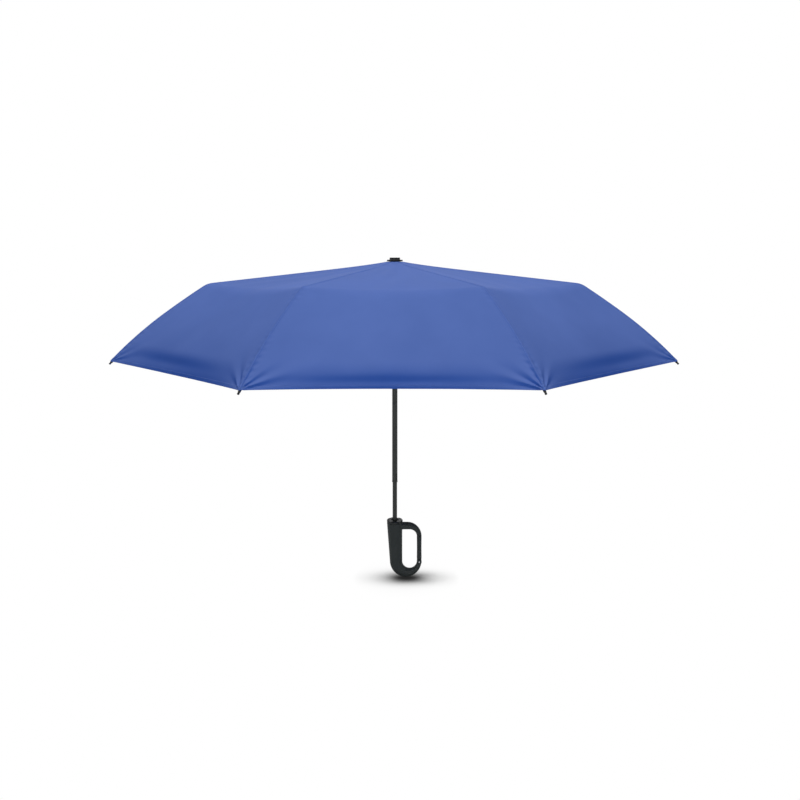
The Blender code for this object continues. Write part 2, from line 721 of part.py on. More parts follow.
def middle_rib_mesh():
    """The middle rib from its fork on the first fold's pin to its tongue at the second fold."""
    line = -FOLD_PIVOT_RISE
    half = CHANNEL_HEIGHT / 2
    ear_length = CHANNEL_HEIGHT + EYE_RADIUS
    channel_end = MIDDLE_RIB_LENGTH - WIRE_LEVER - EYE_RADIUS
    ears = plate_mesh(
        [link_outline((0, 0), EYE_RADIUS, (ear_length + half, line), EYE_RADIUS)],
        CHANNEL_WIDTH + 2 * LAP,
    )
    body = channel_mesh(ear_length, channel_end, MIDDLE_FORK_DEPTH, line, [ears])
    tongue_start = channel_end - CHANNEL_HEIGHT
    pivot = (MIDDLE_RIB_LENGTH, line - OUTER_PIVOT_DROP)
    tongue_root = (tongue_start, line + half - 2 * CHANNEL_WALL)
    tongue = plate_mesh(
        [link_outline(tongue_root, 1.5 * CHANNEL_WALL, pivot, EYE_RADIUS)], TONGUE_WIDTH
    )
    return combined(
        body,
        added=[tongue, cross_pin((0, 0), -CHANNEL_HALF, CHANNEL_HALF)],
        cut=[hole_cutter(pivot)],
    )


def outer_arc(share):
    """A point of the outer rib's arc and its heading, in the frame of its chord, by share of its turn."""
    radius = OUTER_RIB_CHORD / (2 * math.sin(OUTER_RIB_TURN / 2))
    start = OUTER_RIB_TURN / 2
    heading = start - OUTER_RIB_TURN * share
    place = Vector((math.sin(start) - math.sin(heading), math.cos(heading) - math.cos(start))) * radius
    return place, heading


def outer_rib_mesh():
    """The outer rib: a fork of steel, then a curved springy rod that ends in the canopy's tip."""
    rod_shares = (0.025, 0.1, 0.28, 0.46, 0.64, 0.82)
    socket_end, heading = outer_arc(ROD_SOCKET_SHARE)
    lever = wire_lever_place()
    fork = plate_mesh(
        [link_outline((0, 0), EYE_RADIUS, socket_end, EYE_RADIUS + BITE / 2)], CHANNEL_WIDTH
    )
    heel = plate_mesh(
        [link_outline(lever, EYE_RADIUS, (BITE, 0), EYE_RADIUS)], CHANNEL_WIDTH - 2 * LAP
    )
    gap = box_mesh(
        (-WIRE_LEVER - EYE_RADIUS - OVERRUN, -CHANNEL_INSIDE, -WIRE_LEVER - OVERRUN),
        (OUTER_FORK_DEPTH, CHANNEL_INSIDE, WIRE_LEVER + OVERRUN),
    )
    curve = bpy.data.curves.new("rod", "CURVE")
    curve.dimensions = "3D"
    curve.bevel_depth = ROD_RADIUS
    curve.bevel_resolution = 1
    curve.use_fill_caps = True
    points = [(outer_arc(share)[0], 1) for share in rod_shares]
    end, end_heading = outer_arc(1)
    forward = Vector((math.cos(end_heading), math.sin(end_heading)))
    points += [
        (end, TIP_SWELL_SHARE),
        (end + forward * TIP_LENGTH * TIP_TAPER_SHARE, TIP_SWELL_SHARE),
        (end + forward * TIP_LENGTH, TIP_TAPER_SHARE),
    ]
    spline = curve.splines.new("POLY")
    spline.points.add(len(points) - 1)
    for point, (place, radius) in zip(spline.points, points):
        point.co = (place.x, 0, place.y, 1)
        point.radius = radius
    made = bpy.data.objects.new("rod", curve)
    PARTS.objects.link(made)
    rod = baked(made)
    body = combined(fork, added=[heel], cut=[gap])
    return combined(
        body,
        added=[cross_pin((0, 0), -CHANNEL_HALF, CHANNEL_HALF), rod],
        cut=[hole_cutter(lever)],
    )


def wire_lever_place():
    """Where the tie wire meets the outer rib's heel, in the frame of the outer rib's chord."""
    turn = OUTER_CHORD_SLOPE - RIB_SLOPE
    along, drop = -WIRE_LEVER, -WIRE_LEVER_DROP
    return Vector(
        (
            along * math.cos(turn) - drop * math.sin(turn),
            along * math.sin(turn) + drop * math.cos(turn),
        )
    )


def stretcher_mesh():
    """The stretcher: a narrow bar from its eye in the top rib to its eye in the runner."""
    outline = bar_outline(STRETCHER_LENGTH, STRETCHER_HEIGHT / 2, EYE_RADIUS)
    holes = [circle_outline((place, 0), HOLE_RADIUS) for place in (0, STRETCHER_LENGTH)]
    return plate_mesh([outline, *holes], TONGUE_WIDTH)


def tie_wire_places():
    """The tie wire's two ends in the top rib's frame."""
    start = Vector((TOP_RIB_LENGTH - WIRE_HEEL, -WIRE_HEEL_DROP))
    end = Vector(
        (
            TOP_RIB_LENGTH + MIDDLE_RIB_LENGTH - WIRE_LEVER,
            -OUTER_PIVOT_DROP - WIRE_LEVER_DROP,
        )
    )
    return start, end


def tie_wire_mesh():
    """The wire that steers the outer rib, beside the middle rib, with a flattened eye at each end."""
    start, end = tie_wire_places()
    length = (end - start).length
    outline = bar_outline(length, TIE_WIRE_RADIUS, TIE_EYE_RADIUS)
    holes = [circle_outline((place, 0), HOLE_RADIUS) for place in (0, length)]
    return plate_mesh([outline, *holes], 2 * TIE_WIRE_RADIUS, TIE_WIRE_SIDE)


def build_ribs(root, black_steel, spring_steel, fibre):
    """Eight ribs of five pieces, each piece hung on the pivot that it turns on."""
    top_shape, middle_shape, outer_shape = top_rib_mesh(), middle_rib_mesh(), outer_rib_mesh()
    stretcher_shape, wire_shape = stretcher_mesh(), tie_wire_mesh()
    wire_start, wire_end = tie_wire_places()
    wire_slope = -math.atan2(wire_end.y - wire_start.y, wire_end.x - wire_start.x)
    stretcher_turn = math.pi - STRETCHER_SLOPE - RIB_SLOPE
    for n, turn in enumerate(rib_turns(), 1):
        place = (NOTCH_PIVOT_RADIUS * math.cos(turn), NOTCH_PIVOT_RADIUS * math.sin(turn), NOTCH_Z)
        top = new_object(f"top_rib_{n}", top_shape, black_steel, root, place, (0, RIB_SLOPE, turn))
        new_object(
            f"stretcher_{n}",
            stretcher_shape,
            black_steel,
            top,
            (STRETCHER_PIVOT, 0, -STRETCHER_PIVOT_DROP),
            (0, stretcher_turn, 0),
        )
        middle = new_object(
            f"middle_rib_{n}", middle_shape, black_steel, top, (TOP_RIB_LENGTH, 0, FOLD_PIVOT_RISE)
        )
        new_object(
            f"outer_rib_{n}",
            outer_shape,
            fibre,
            middle,
            (MIDDLE_RIB_LENGTH, 0, -FOLD_PIVOT_RISE - OUTER_PIVOT_DROP),
            (0, OUTER_CHORD_SLOPE - RIB_SLOPE, 0),
        )
        wire_place = (wire_start.x, 0, wire_start.y)
        new_object(f"tie_wire_{n}", wire_shape, spring_steel, top, wire_place, (0, wire_slope, 0))


# Canopy


def roof_point(share):
    """The cloth's outside over the straight part of a rib, as (radius, height), by share of that part."""
    length = (TOP_RIB_LENGTH + MIDDLE_RIB_LENGTH) * share
    hub_lift = CLOTH_HUB_Z - NOTCH_Z
    lift = mixed(ROOF_LIFT, BEND_LIFT, share) + (hub_lift - ROOF_LIFT) * (1 - share) ** HUB_CURVE
    radius = NOTCH_PIVOT_RADIUS + length * math.cos(RIB_SLOPE) + lift * math.sin(RIB_SLOPE)
    height = NOTCH_Z - length * math.sin(RIB_SLOPE) + lift * math.cos(RIB_SLOPE)
    return radius, height


def skirt_point(share):
    """The cloth's outside over the outer rib, as (radius, height), by share of that rib's arc."""
    length = TOP_RIB_LENGTH + MIDDLE_RIB_LENGTH
    pivot = Vector(
        (
            NOTCH_PIVOT_RADIUS + length * math.cos(RIB_SLOPE) - OUTER_PIVOT_DROP * math.sin(RIB_SLOPE),
            NOTCH_Z - length * math.sin(RIB_SLOPE) - OUTER_PIVOT_DROP * math.cos(RIB_SLOPE),
        )
    )
    place, heading = outer_arc(share)
    rise = BEND_LIFT * max(0, 1 - share / BEND_BLEND_SHARE) ** 2
    lift = TIP_LIFT + rise
    place = place + Vector((-math.sin(heading), math.cos(heading))) * lift
    turned = Matrix.Rotation(-OUTER_CHORD_SLOPE, 2) @ place
    return pivot.x + turned.x, pivot.y + turned.y


def canopy_rings():
    """Each ring of the cloth: its point over a rib, and how far its panel's middle moves in and down."""
    roof_shares = (0.05, 0.15, 0.5, 1)
    skirt_shares = (0.1, 0.28, 0.46, 0.64, 0.82, 1)
    rings = [
        ((HUB_HOLE_RADIUS, CLOTH_HUB_Z), 0, 0),
        ((CAP_FLANGE_RADIUS - CLOTH_THICKNESS, CLOTH_HUB_Z), 0, 0),
    ]
    for share in roof_shares:
        rings.append((roof_point(share), 0, BEND_SAG * share**SAG_CURVE))
    for share in skirt_shares:
        belly = SKIRT_BELLY * 4 * share * (1 - share)
        rings.append((skirt_point(share), HEM_PULL * share + belly, BEND_SAG * (1 - share) + belly))
    return rings


def canopy_mesh():
    """One sheet over all eight ribs, which sags between them and is drawn in along the hem."""
    turns = rib_turns()
    sections = []
    for (radius, height), pull, sag in canopy_rings():
        section = []
        for n in range(RIB_COUNT):
            here, there = turns[n], turns[n] + math.tau / RIB_COUNT
            middle = (here + there) / 2
            for step in range(GORE_STEPS):
                share = step / GORE_STEPS
                bow = 4 * share * (1 - share)
                x = mixed(radius * math.cos(here), radius * math.cos(there), share)
                y = mixed(radius * math.sin(here), radius * math.sin(there), share)
                x -= pull * bow * math.cos(middle)
                y -= pull * bow * math.sin(middle)
                section.append((x, y, height - sag * bow))
        sections.append(section)
    return lofted_mesh(sections, capped=False)


def build_canopy(root, cloth):
    """The canopy, with its wall inside the modelled surface."""
    made = new_object("canopy", canopy_mesh(), cloth, root)
    wall = made.modifiers.new("Solidify", "SOLIDIFY")
    wall.thickness = CLOTH_THICKNESS
    wall.offset = -1


clear_scene()
PARTS = new_collection("windproof_umbrella", True)
CUTTERS = new_collection("cutters", False)


def build_umbrella():
    """Make every piece of the umbrella, under one empty at the middle of the grip."""
    grip_plastic = plain_material("grip_plastic", (0.018, 0.019, 0.022), 0.5, 0)
    frame_plastic = plain_material("frame_plastic", (0.012, 0.012, 0.014), 0.4, 0)
    black_steel = plain_material("black_steel", (0.015, 0.015, 0.017), 0.3, 0.8)
    bare_steel = plain_material("bare_steel", (0.55, 0.56, 0.58), 0.3, 1)
    fibre = plain_material("fibre", (0.02, 0.02, 0.022), 0.35, 0)
    cloth = plain_material("cloth", (0.09, 0.16, 0.45), 0.7, 0)
    root = bpy.data.objects.new("umbrella", None)
    PARTS.objects.link(root)
    build_handle(root, grip_plastic, frame_plastic, bare_steel)
    build_shaft(root, black_steel)
    build_notch(root, frame_plastic, bare_steel)
    build_runner(root, frame_plastic, bare_steel)
    build_cap(root, frame_plastic)
    build_ribs(root, black_steel, bare_steel, fibre)
    build_canopy(root, cloth)


build_umbrella()
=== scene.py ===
"""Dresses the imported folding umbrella: its cloth, seams, tips, handle, finishes, light and camera.

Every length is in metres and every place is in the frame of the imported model: the shaft runs up +Z through
the origin, and the handle's loop points to +X.
"""

import logging
import math
from collections.abc import Callable, Iterable, Sequence
from dataclasses import dataclass, field
from enum import Enum

import bmesh
import bpy
import numpy as np
from mathutils import Matrix, Vector


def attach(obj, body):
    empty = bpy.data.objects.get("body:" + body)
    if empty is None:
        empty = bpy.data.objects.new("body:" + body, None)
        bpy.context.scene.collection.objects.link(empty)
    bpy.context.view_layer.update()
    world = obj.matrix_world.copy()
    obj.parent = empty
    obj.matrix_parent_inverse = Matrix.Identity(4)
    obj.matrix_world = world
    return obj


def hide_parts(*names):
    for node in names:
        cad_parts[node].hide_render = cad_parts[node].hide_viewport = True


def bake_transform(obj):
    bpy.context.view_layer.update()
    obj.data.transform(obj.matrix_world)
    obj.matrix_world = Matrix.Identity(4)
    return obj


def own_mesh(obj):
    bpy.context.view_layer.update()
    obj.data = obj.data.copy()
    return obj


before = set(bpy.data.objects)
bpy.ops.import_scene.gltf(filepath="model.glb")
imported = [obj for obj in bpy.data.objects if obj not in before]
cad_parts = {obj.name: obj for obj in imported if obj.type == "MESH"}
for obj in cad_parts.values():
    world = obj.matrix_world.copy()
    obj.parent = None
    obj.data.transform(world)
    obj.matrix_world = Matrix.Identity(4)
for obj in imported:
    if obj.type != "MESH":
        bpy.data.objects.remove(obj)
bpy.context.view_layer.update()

LOG = logging.getLogger("umbrella")

Point = tuple[float, float, float]
Profile = Sequence[tuple[float, float]]

RIB_COUNT = 8
RIBS = range(1, RIB_COUNT + 1)
SEED = 21


class Slot(str, Enum):
    """The record's material slots."""

    GRIP = "grip_plastic"
    FRAME_PLASTIC = "frame_plastic"
    BLACK_STEEL = "black_steel"
    BARE_STEEL = "bare_steel"
    CLOTH = "cloth"


class Joining(str, Enum):
    """The ways in which other shapes act on one."""

    ADD = "UNION"
    CUT = "DIFFERENCE"


# Shader groups and finishes


class Graph:
    """A short way to add and join nodes in one tree."""

    def __init__(self, tree: bpy.types.NodeTree) -> None:
        """Keep the tree."""
        self.tree = tree

    @classmethod
    def group(cls, name: str, inputs: dict[str, float | None], outputs: Sequence[str]) -> "Graph":
        """Start a shader group with its sockets.

        Args:
            name: The group's name.
            inputs: Input name to its default number, or to None for a vector.
            outputs: The outputs' names. Normal is a vector, and the others are numbers.

        Returns:
            The group's graph, holding its input and output nodes.
        """
        tree = bpy.data.node_groups.new(name, "ShaderNodeTree")
        for title, default in inputs.items():
            kind = "NodeSocketVector" if default is None else "NodeSocketFloat"
            socket = tree.interface.new_socket(title, in_out="INPUT", socket_type=kind)
            if default is not None:
                socket.default_value = default
        for title in outputs:
            kind = "NodeSocketVector" if title == "Normal" else "NodeSocketFloat"
            tree.interface.new_socket(title, in_out="OUTPUT", socket_type=kind)
        tree.nodes.new("NodeGroupInput")
        tree.nodes.new("NodeGroupOutput")
        return cls(tree)

    def add(self, kind: str, values: dict[str, object] | None = None, **settings: object) -> bpy.types.Node:
        """Add a node.

        Args:
            kind: The node's type, without its ShaderNode prefix.
            values: Input name or number to a constant or to the socket that feeds it.
            settings: Properties of the node.

        Returns:
            The node.
        """
        node = self.tree.nodes.new("ShaderNode" + kind)
        for name, value in settings.items():
            setattr(node, name, value)
        for key, value in (values or {}).items():
            socket = node.inputs[key]
            if isinstance(value, bpy.types.NodeSocket):
                self.link(value, socket)
            else:
                socket.default_value = value
        return node

    def math(self, operation: str, *values: object) -> bpy.types.NodeSocket:
        """Add a Math node and return its output."""
        return self.add("Math", dict(enumerate(values)), operation=operation).outputs[0]

    def mix(self, share: object, first: object, second: object) -> bpy.types.NodeSocket:
        """Mix two colours and return the result."""
        return self.add("MixRGB", {0: share, 1: first, 2: second}).outputs[0]

    def noise(
        self, place: bpy.types.NodeSocket, size: bpy.types.NodeSocket, **looks: float
    ) -> bpy.types.NodeSocket:
        """Add noise whose spots have a given size, and return its value."""
        values = {"Vector": place, "Scale": self.math("DIVIDE", 1.0, size)}
        return self.add("TexNoise", {**values, **looks}).outputs[0]

    def bump(self, strength: float, distance: object, height: object) -> bpy.types.NodeSocket:
        """Add a Bump node and return its normal."""
        return self.add("Bump", {"Strength": strength, "Distance": distance, "Height": height}).outputs[0]

    def seen(self) -> bpy.types.NodeSocket:
        """1 for what the camera sees, straight or in gloss or glass, and 0 for light on the object."""
        path = self.add("LightPath")
        gloss = self.math("MAXIMUM", path.outputs["Is Glossy Ray"], path.outputs["Is Transmission Ray"])
        return self.math("MAXIMUM", path.outputs["Is Camera Ray"], gloss)

    def end(self, kind: str) -> bpy.types.Node:
        """The tree's only node of one type, such as its output."""
        return next(node for node in self.tree.nodes if node.type == kind)

    def link(self, start: bpy.types.NodeSocket, end: bpy.types.NodeSocket) -> None:
        """Join two sockets."""
        self.tree.links.new(start, end)

    def give(self, **results: bpy.types.NodeSocket) -> bpy.types.NodeTree:
        """Feed the group's outputs and return its tree."""
        for name, socket in results.items():
            self.link(socket, self.end("GROUP_OUTPUT").inputs[name])
        return self.tree


def make_mottle_group() -> bpy.types.NodeTree:
    """A slow cloudy mask, about one half on average, for colour and gloss that aren't quite even."""
    graph = Graph.group("mottle", {"Vector": None, "Size": 0.05}, ("Mask",))
    given = graph.end("GROUP_INPUT").outputs
    cloud = graph.noise(given["Vector"], given["Size"], Detail=3.0, Roughness=0.55)
    return graph.give(Mask=graph.add("MapRange", {0: cloud, 1: 0.3, 2: 0.7, 3: 0.0, 4: 1.0}).outputs[0])


def make_grain_group() -> bpy.types.NodeTree:
    """The fine grain of moulded plastic or coated steel: a bumped normal and the grain's own mask."""
    graph = Graph.group("grain", {"Vector": None, "Size": 0.0006, "Height": 0.00004}, ("Normal", "Mask"))
    given = graph.end("GROUP_INPUT").outputs
    grain = graph.noise(given["Vector"], given["Size"], Detail=2.0)
    return graph.give(Normal=graph.bump(0.6, given["Height"], grain), Mask=grain)


def make_weave_group() -> bpy.types.NodeTree:
    """A plain weave in the sheet's own UV, in metres: a bumped normal and a mask that is 1 on a crown.

    Returns:
        The group.
    """
    graph = Graph.group("weave", {"Vector": None, "Thread": 0.0004, "Height": 0.00003}, ("Normal", "Mask"))
    given = graph.end("GROUP_INPUT").outputs
    split = graph.add("SeparateXYZ", {0: given["Vector"]}).outputs
    turn = graph.math("DIVIDE", math.pi, given["Thread"])
    across, along = (graph.math("MULTIPLY", split[axis], turn) for axis in (0, 1))
    warp, weft = (graph.math("ABSOLUTE", graph.math("SINE", way)) for way in (across, along))
    slow = [graph.math("SINE", graph.math("MULTIPLY", way, 0.5)) for way in (across, along)]
    over = graph.math("GREATER_THAN", graph.math("MULTIPLY", *slow), 0.0)
    crown = graph.add("Mix", {0: over, 2: warp, 3: weft}).outputs[0]
    return graph.give(Normal=graph.bump(0.5, given["Height"], crown), Mask=crown)


@dataclass(frozen=True)
class Finish:
    """One surface finish.

    Attributes:
        name: The material's name.
        dark: Linear colour where the mottle mask is 0.
        light: Linear colour where it is 1.
        rough: Least and most roughness.
        metallic: How metallic it is.
        grain: Size and height of the grain, in metres.
        mottle: Size of the cloudy variation, in metres.
        coat: Weight of a clear coat.
        sheen: Weight of the sheen.
        sheen_rough: Roughness of the sheen.
        woven: Whether the grain is a weave in UV.
        steep_shade: Painted shade: the linear colour that the cloth takes where its normal rises little, as
            if the overhead light and its sheen missed it, or None where the colour is the same all over.
        steep_shade_range: The normal's rise at which the painted shade is whole, and at which it ends.
        specular: The specular level.
        grain_share: The grain's part in the colour, beside the mottle's.
    """

    name: str
    dark: Point
    light: Point
    rough: tuple[float, float]
    metallic: float = 0.0
    grain: tuple[float, float] = (0.0006, 0.00004)
    mottle: float = 0.05
    coat: float = 0.0
    sheen: float = 0.0
    sheen_rough: float = 0.45
    woven: bool = False
    steep_shade: Point | None = None
    steep_shade_range: tuple[float, float] = (0.24, 0.77)
    specular: float = 0.5
    grain_share: float = 0.25

    def build(self) -> bpy.types.Material:
        """Make the material once and return it.

        Returns:
            The material.
        """
        found = bpy.data.materials.get(self.name)
        if found:
            return found
        made = bpy.data.materials.new(self.name)
        made.use_nodes = True
        graph = Graph(made.node_tree)
        shader = made.node_tree.nodes["Principled BSDF"]
        place = graph.add("TexCoord").outputs
        mottle = graph.add("Group", node_tree=GROUPS["mottle"])
        graph.link(place["Object"], mottle.inputs["Vector"])
        mottle.inputs["Size"].default_value = self.mottle
        fine = graph.add("Group", node_tree=GROUPS["weave" if self.woven else "grain"])
        graph.link(place["UV" if self.woven else "Object"], fine.inputs["Vector"])
        size, height = self.grain
        fine.inputs["Thread" if self.woven else "Size"].default_value = size
        fine.inputs["Height"].default_value = height
        cloud = graph.math("MULTIPLY", mottle.outputs[0], 1 - self.grain_share)
        share = graph.math("MULTIPLY_ADD", fine.outputs["Mask"], self.grain_share, cloud)
        colour = graph.mix(share, (*self.dark, 1.0), (*self.light, 1.0))
        # Painted light: the colour turns darker and bluer where the normal rises little, standing in for
        # shade on steep cloth, while upward-facing cloth keeps a whiter colour that stands in for the
        # overhead light's sheen.
        if self.steep_shade:
            rise = graph.add("SeparateXYZ", {0: place["Normal"]}).outputs[2]
            shade_limits = {1: self.steep_shade_range[0], 2: self.steep_shade_range[1], 3: 1.0, 4: 0.0}
            fade = graph.add("MapRange", {0: rise, **shade_limits}, interpolation_type="SMOOTHSTEP")
            colour = graph.mix(fade.outputs[0], colour, (*self.steep_shade, 1.0))
        graph.link(colour, shader.inputs["Base Color"])
        least, most = self.rough
        rough = graph.math("MULTIPLY_ADD", mottle.outputs[0], most - least, least)
        graph.link(rough, shader.inputs["Roughness"])
        graph.link(fine.outputs["Normal"], shader.inputs["Normal"])
        constants = {
            "Metallic": self.metallic,
            "Coat Weight": self.coat,
            "Sheen Weight": self.sheen,
            "Sheen Roughness": self.sheen_rough,
            "Specular IOR Level": self.specular,
        }
        for name, value in constants.items():
            shader.inputs[name].default_value = value
        return made


GROUPS = {"mottle": make_mottle_group(), "grain": make_grain_group(), "weave": make_weave_group()}

# Painted light: the cloth's two upper colours are its own blue with a painted whitish lift for the overhead
# light's sheen, and its third colour, for cloth whose normal rises little, is painted shade.
CLOTH = Finish(
    "blue_cloth", (0.0805, 0.140, 0.400), (0.0965, 0.162, 0.449), (0.55, 0.62),
    grain=(0.00042, 0.00003), mottle=0.11, woven=True, steep_shade=(0.033, 0.090, 0.370), specular=0.02,
)
CLOTH_INSIDE = Finish(
    "blue_cloth_inside", (0.017, 0.064, 0.290), (0.023, 0.081, 0.345), (0.56, 0.66),
    grain=(0.00042, 0.00003), mottle=0.08, woven=True, specular=0.10,
)
THREAD = Finish(
    "blue_thread", (0.020, 0.080, 0.350), (0.045, 0.135, 0.520), (0.46, 0.58), grain=(0.0003, 0.00004),
    mottle=0.002, sheen=0.1,
)
GRIP = Finish(
    "charcoal_grip", (0.0560, 0.0640, 0.0620), (0.0690, 0.0780, 0.0750), (0.46, 0.56),
    grain=(0.0005, 0.00005), mottle=0.02, specular=0.12,
)
CROWN = Finish(
    "charcoal_crown", (0.030, 0.034, 0.034), (0.042, 0.047, 0.047), (0.30, 0.40), grain=(0.0005, 0.00003),
    mottle=0.008, specular=0.15,
)
FRAME_PLASTIC = Finish(
    "black_plastic", (0.0100, 0.0105, 0.0115), (0.0185, 0.0190, 0.0205), (0.38, 0.50),
    grain=(0.0004, 0.00003), mottle=0.01, specular=0.12,
)
BLACK_STEEL = Finish(
    "black_steel_coat", (0.0400, 0.0440, 0.0400), (0.0520, 0.0560, 0.0515), (0.28, 0.38), metallic=0.15,
    grain=(0.0003, 0.00001), mottle=0.03, coat=0.05, specular=0.20,
)
BARE_STEEL = Finish(
    "bright_steel", (0.42, 0.43, 0.45), (0.60, 0.61, 0.63), (0.24, 0.38), metallic=1.0,
    grain=(0.0002, 0.00001), mottle=0.006,
)
FIBRE = Finish(
    "glass_fibre", (0.0120, 0.0130, 0.0150), (0.0240, 0.0250, 0.0280), (0.28, 0.40), grain=(0.0008, 0.00003),
    mottle=0.015, specular=0.15,
)

NODE_FINISHES: dict[str, Finish] = {
    "lower_tube": BLACK_STEEL,
    "middle_tube": BLACK_STEEL,
    "top_tube": BLACK_STEEL,
    "gate_pin": BARE_STEEL,
    "top_notch": FRAME_PLASTIC,
    "runner": FRAME_PLASTIC,
    "notch_wire": BARE_STEEL,
    "runner_wire": BARE_STEEL,
    "top_rib": BLACK_STEEL,
    "stretcher": BLACK_STEEL,
    "middle_rib": BLACK_STEEL,
    "tie_wire": BARE_STEEL,
    "outer_rib": FIBRE,
}


# Mesh helpers


def linked(name: str, data: bpy.types.ID) -> bpy.types.Object:
    """Put data in the scene as an object at the origin."""
    made = bpy.data.objects.new(name, data)
    bpy.context.scene.collection.objects.link(made)
    return made


def meshed(bm: bmesh.types.BMesh, name: str) -> bpy.types.Mesh:
    """Turn a bmesh into a mesh and free it."""
    mesh = bpy.data.meshes.new(name)
    bm.to_mesh(mesh)
    bm.free()
    return mesh


def smoothed(
    bm: bmesh.types.BMesh, name: str, sharp: float | None = 40.0, merge: bool = True
) -> bpy.types.Mesh:
    """Turn a bmesh into a mesh with smooth shading and its faces outwards.

    Args:
        bm: The shape, which is freed.
        name: The mesh's name.
        sharp: The angle in degrees past which an edge stays sharp, or None where none does.
        merge: Whether doubled vertices are merged.

    Returns:
        The mesh.
    """
    if merge:
        bmesh.ops.remove_doubles(bm, verts=bm.verts, dist=1e-6)
    bmesh.ops.recalc_face_normals(bm, faces=bm.faces)
    mesh = meshed(bm, name)
    mesh.shade_smooth()
    if sharp is not None:
        mesh.set_sharp_from_angle(angle=math.radians(sharp))
    return mesh


def add_piece(
    name: str, mesh: bpy.types.Mesh, finishes: Iterable[Finish], body: str | None
) -> bpy.types.Object:
    """Put a mesh in the scene as a piece of the umbrella.

    Args:
        name: The piece's name.
        mesh: Its mesh, in the frame's own coordinates.
        finishes: Its materials, in the order of the mesh's material indices.
        body: The body that it moves with, or None where it isn't attached here.

    Returns:
        The object.
    """
    made = linked(name, mesh)
    for finish in finishes:
        mesh.materials.append(finish.build())
    if body:
        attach(made, body)
    LOG.info("piece %s: on %s", name, body or "its fold")
    return made


def spun(profile: Profile, steps: int, closed: bool = True) -> bmesh.types.BMesh:
    """Turn a profile round Z.

    Args:
        profile: Its points, as (radius, height).
        steps: How many sides the turned shape gets.
        closed: Whether the last point joins the first. Otherwise both ends are capped flat.

    Returns:
        The turned shape.
    """
    bm = bmesh.new()
    verts = [bm.verts.new((radius, 0.0, height)) for radius, height in profile]
    edges = [bm.edges.new(pair) for pair in zip(verts, verts[1:] + verts[:1] if closed else verts[1:])]
    bmesh.ops.spin(
        bm, geom=verts + edges, cent=(0, 0, 0), axis=(0, 0, 1), angle=math.tau, steps=steps, use_merge=True
    )
    if closed:
        bmesh.ops.remove_doubles(bm, verts=bm.verts, dist=2e-6)
        bmesh.ops.dissolve_degenerate(bm, edges=bm.edges, dist=1e-7)
    else:
        bmesh.ops.holes_fill(bm, edges=bm.edges, sides=steps)
    return bm


def rounded(profile: Profile, radius: float, steps: int = 3) -> list[tuple[float, float]]:
    """Round the corners of a closed profile, each by at most a third of its shorter side.

    Args:
        profile: Its points, as (radius, height).
        radius: How far before and after a corner the rounding reaches.
        steps: How many edges each rounding gets.

    Returns:
        The rounded profile.
    """
    points = [Vector(point) for point in profile]
    axis = 1e-9
    smooth: list[tuple[float, float]] = []
    for before, here, after in zip(points[-1:] + points[:-1], points, points[1:] + points[:1]):
        back, ahead = before - here, after - here
        if here.x < axis or before.x < axis and after.x < axis:
            smooth.append((here.x, here.y))
            continue
        reach = min(radius, back.length / 3, ahead.length / 3)
        start, end = here + back.normalized() * reach, here + ahead.normalized() * reach
        for n in range(steps + 1):
            share = n / steps
            place = (1 - share) ** 2 * start + 2 * share * (1 - share) * here + share**2 * end
            smooth.append((place.x, place.y))
    return smooth


def bridge(bm: bmesh.types.BMesh, sections: Sequence[Sequence[Vector]], closed: bool = False) -> None:
    """Add a tube through a row of sections.

    Args:
        bm: The bmesh that it is added to.
        sections: The sections, each with as many points, in the same order.
        closed: Whether the last section joins the first. Otherwise both ends are capped.
    """
    rings = [[bm.verts.new(place) for place in section] for section in sections]
    edges = [bm.edges.new(pair) for ring in rings for pair in zip(ring, ring[1:] + ring[:1])]
    bmesh.ops.bridge_loops(bm, edges=edges, use_cyclic=closed)
    if not closed:
        for ring in (rings[0], rings[-1]):
            bm.faces.new(ring)


def loft(sections: Sequence[Sequence[Vector]]) -> bmesh.types.BMesh:
    """Skin a row of closed sections and cap both ends."""
    bm = bmesh.new()
    bridge(bm, sections)
    return bm


def circle(radius: float, sides: int, height: float = 0.0) -> list[Vector]:
    """Points round Z."""
    angles = [math.tau * k / sides for k in range(sides)]
    return [Vector((radius * math.cos(angle), radius * math.sin(angle), height)) for angle in angles]


def add_wire(
    bm: bmesh.types.BMesh, path: Sequence[Vector], radius: float, sides: int, closed: bool, material: int = 0
) -> None:
    """Add a round wire along a path.

    Args:
        bm: The bmesh that it is added to.
        path: The wire's middle line.
        radius: The wire's radius.
        sides: How many sides it gets.
        closed: Whether it is a ring.
        material: The index of its material.
    """
    count, before = len(path), len(bm.faces)
    reference = Vector((0.13, 0.27, 0.95)).normalized()
    sections = []
    for n, place in enumerate(path):
        if closed:
            heading = path[(n + 1) % count] - path[n - 1]
        else:
            heading = path[min(n + 1, count - 1)] - path[max(n - 1, 0)]
        side = heading.cross(reference).normalized()
        up = side.cross(heading).normalized()
        sections.append([place + side * spot.x + up * spot.y for spot in circle(radius, sides)])
    bridge(bm, sections, closed)
    bm.faces.ensure_lookup_table()
    for face in bm.faces[before:]:
        face.material_index = material


def cylinder(start: Vector, end: Vector, radius: float, steps: int) -> bmesh.types.BMesh:
    """A rod between two points, as a shape to cut or join.

    Args:
        start: The middle of one end.
        end: The middle of the other.
        radius: The rod's radius.
        steps: How many sides it gets.

    Returns:
        The rod.
    """
    bm = bmesh.new()
    length = (end - start).length
    bmesh.ops.create_cone(bm, cap_ends=True, segments=steps, radius1=radius, radius2=radius, depth=length)
    turn = (end - start).to_track_quat("Z", "Y").to_matrix().to_4x4()
    bm.transform(Matrix.Translation((start + end) / 2) @ turn)
    return bm


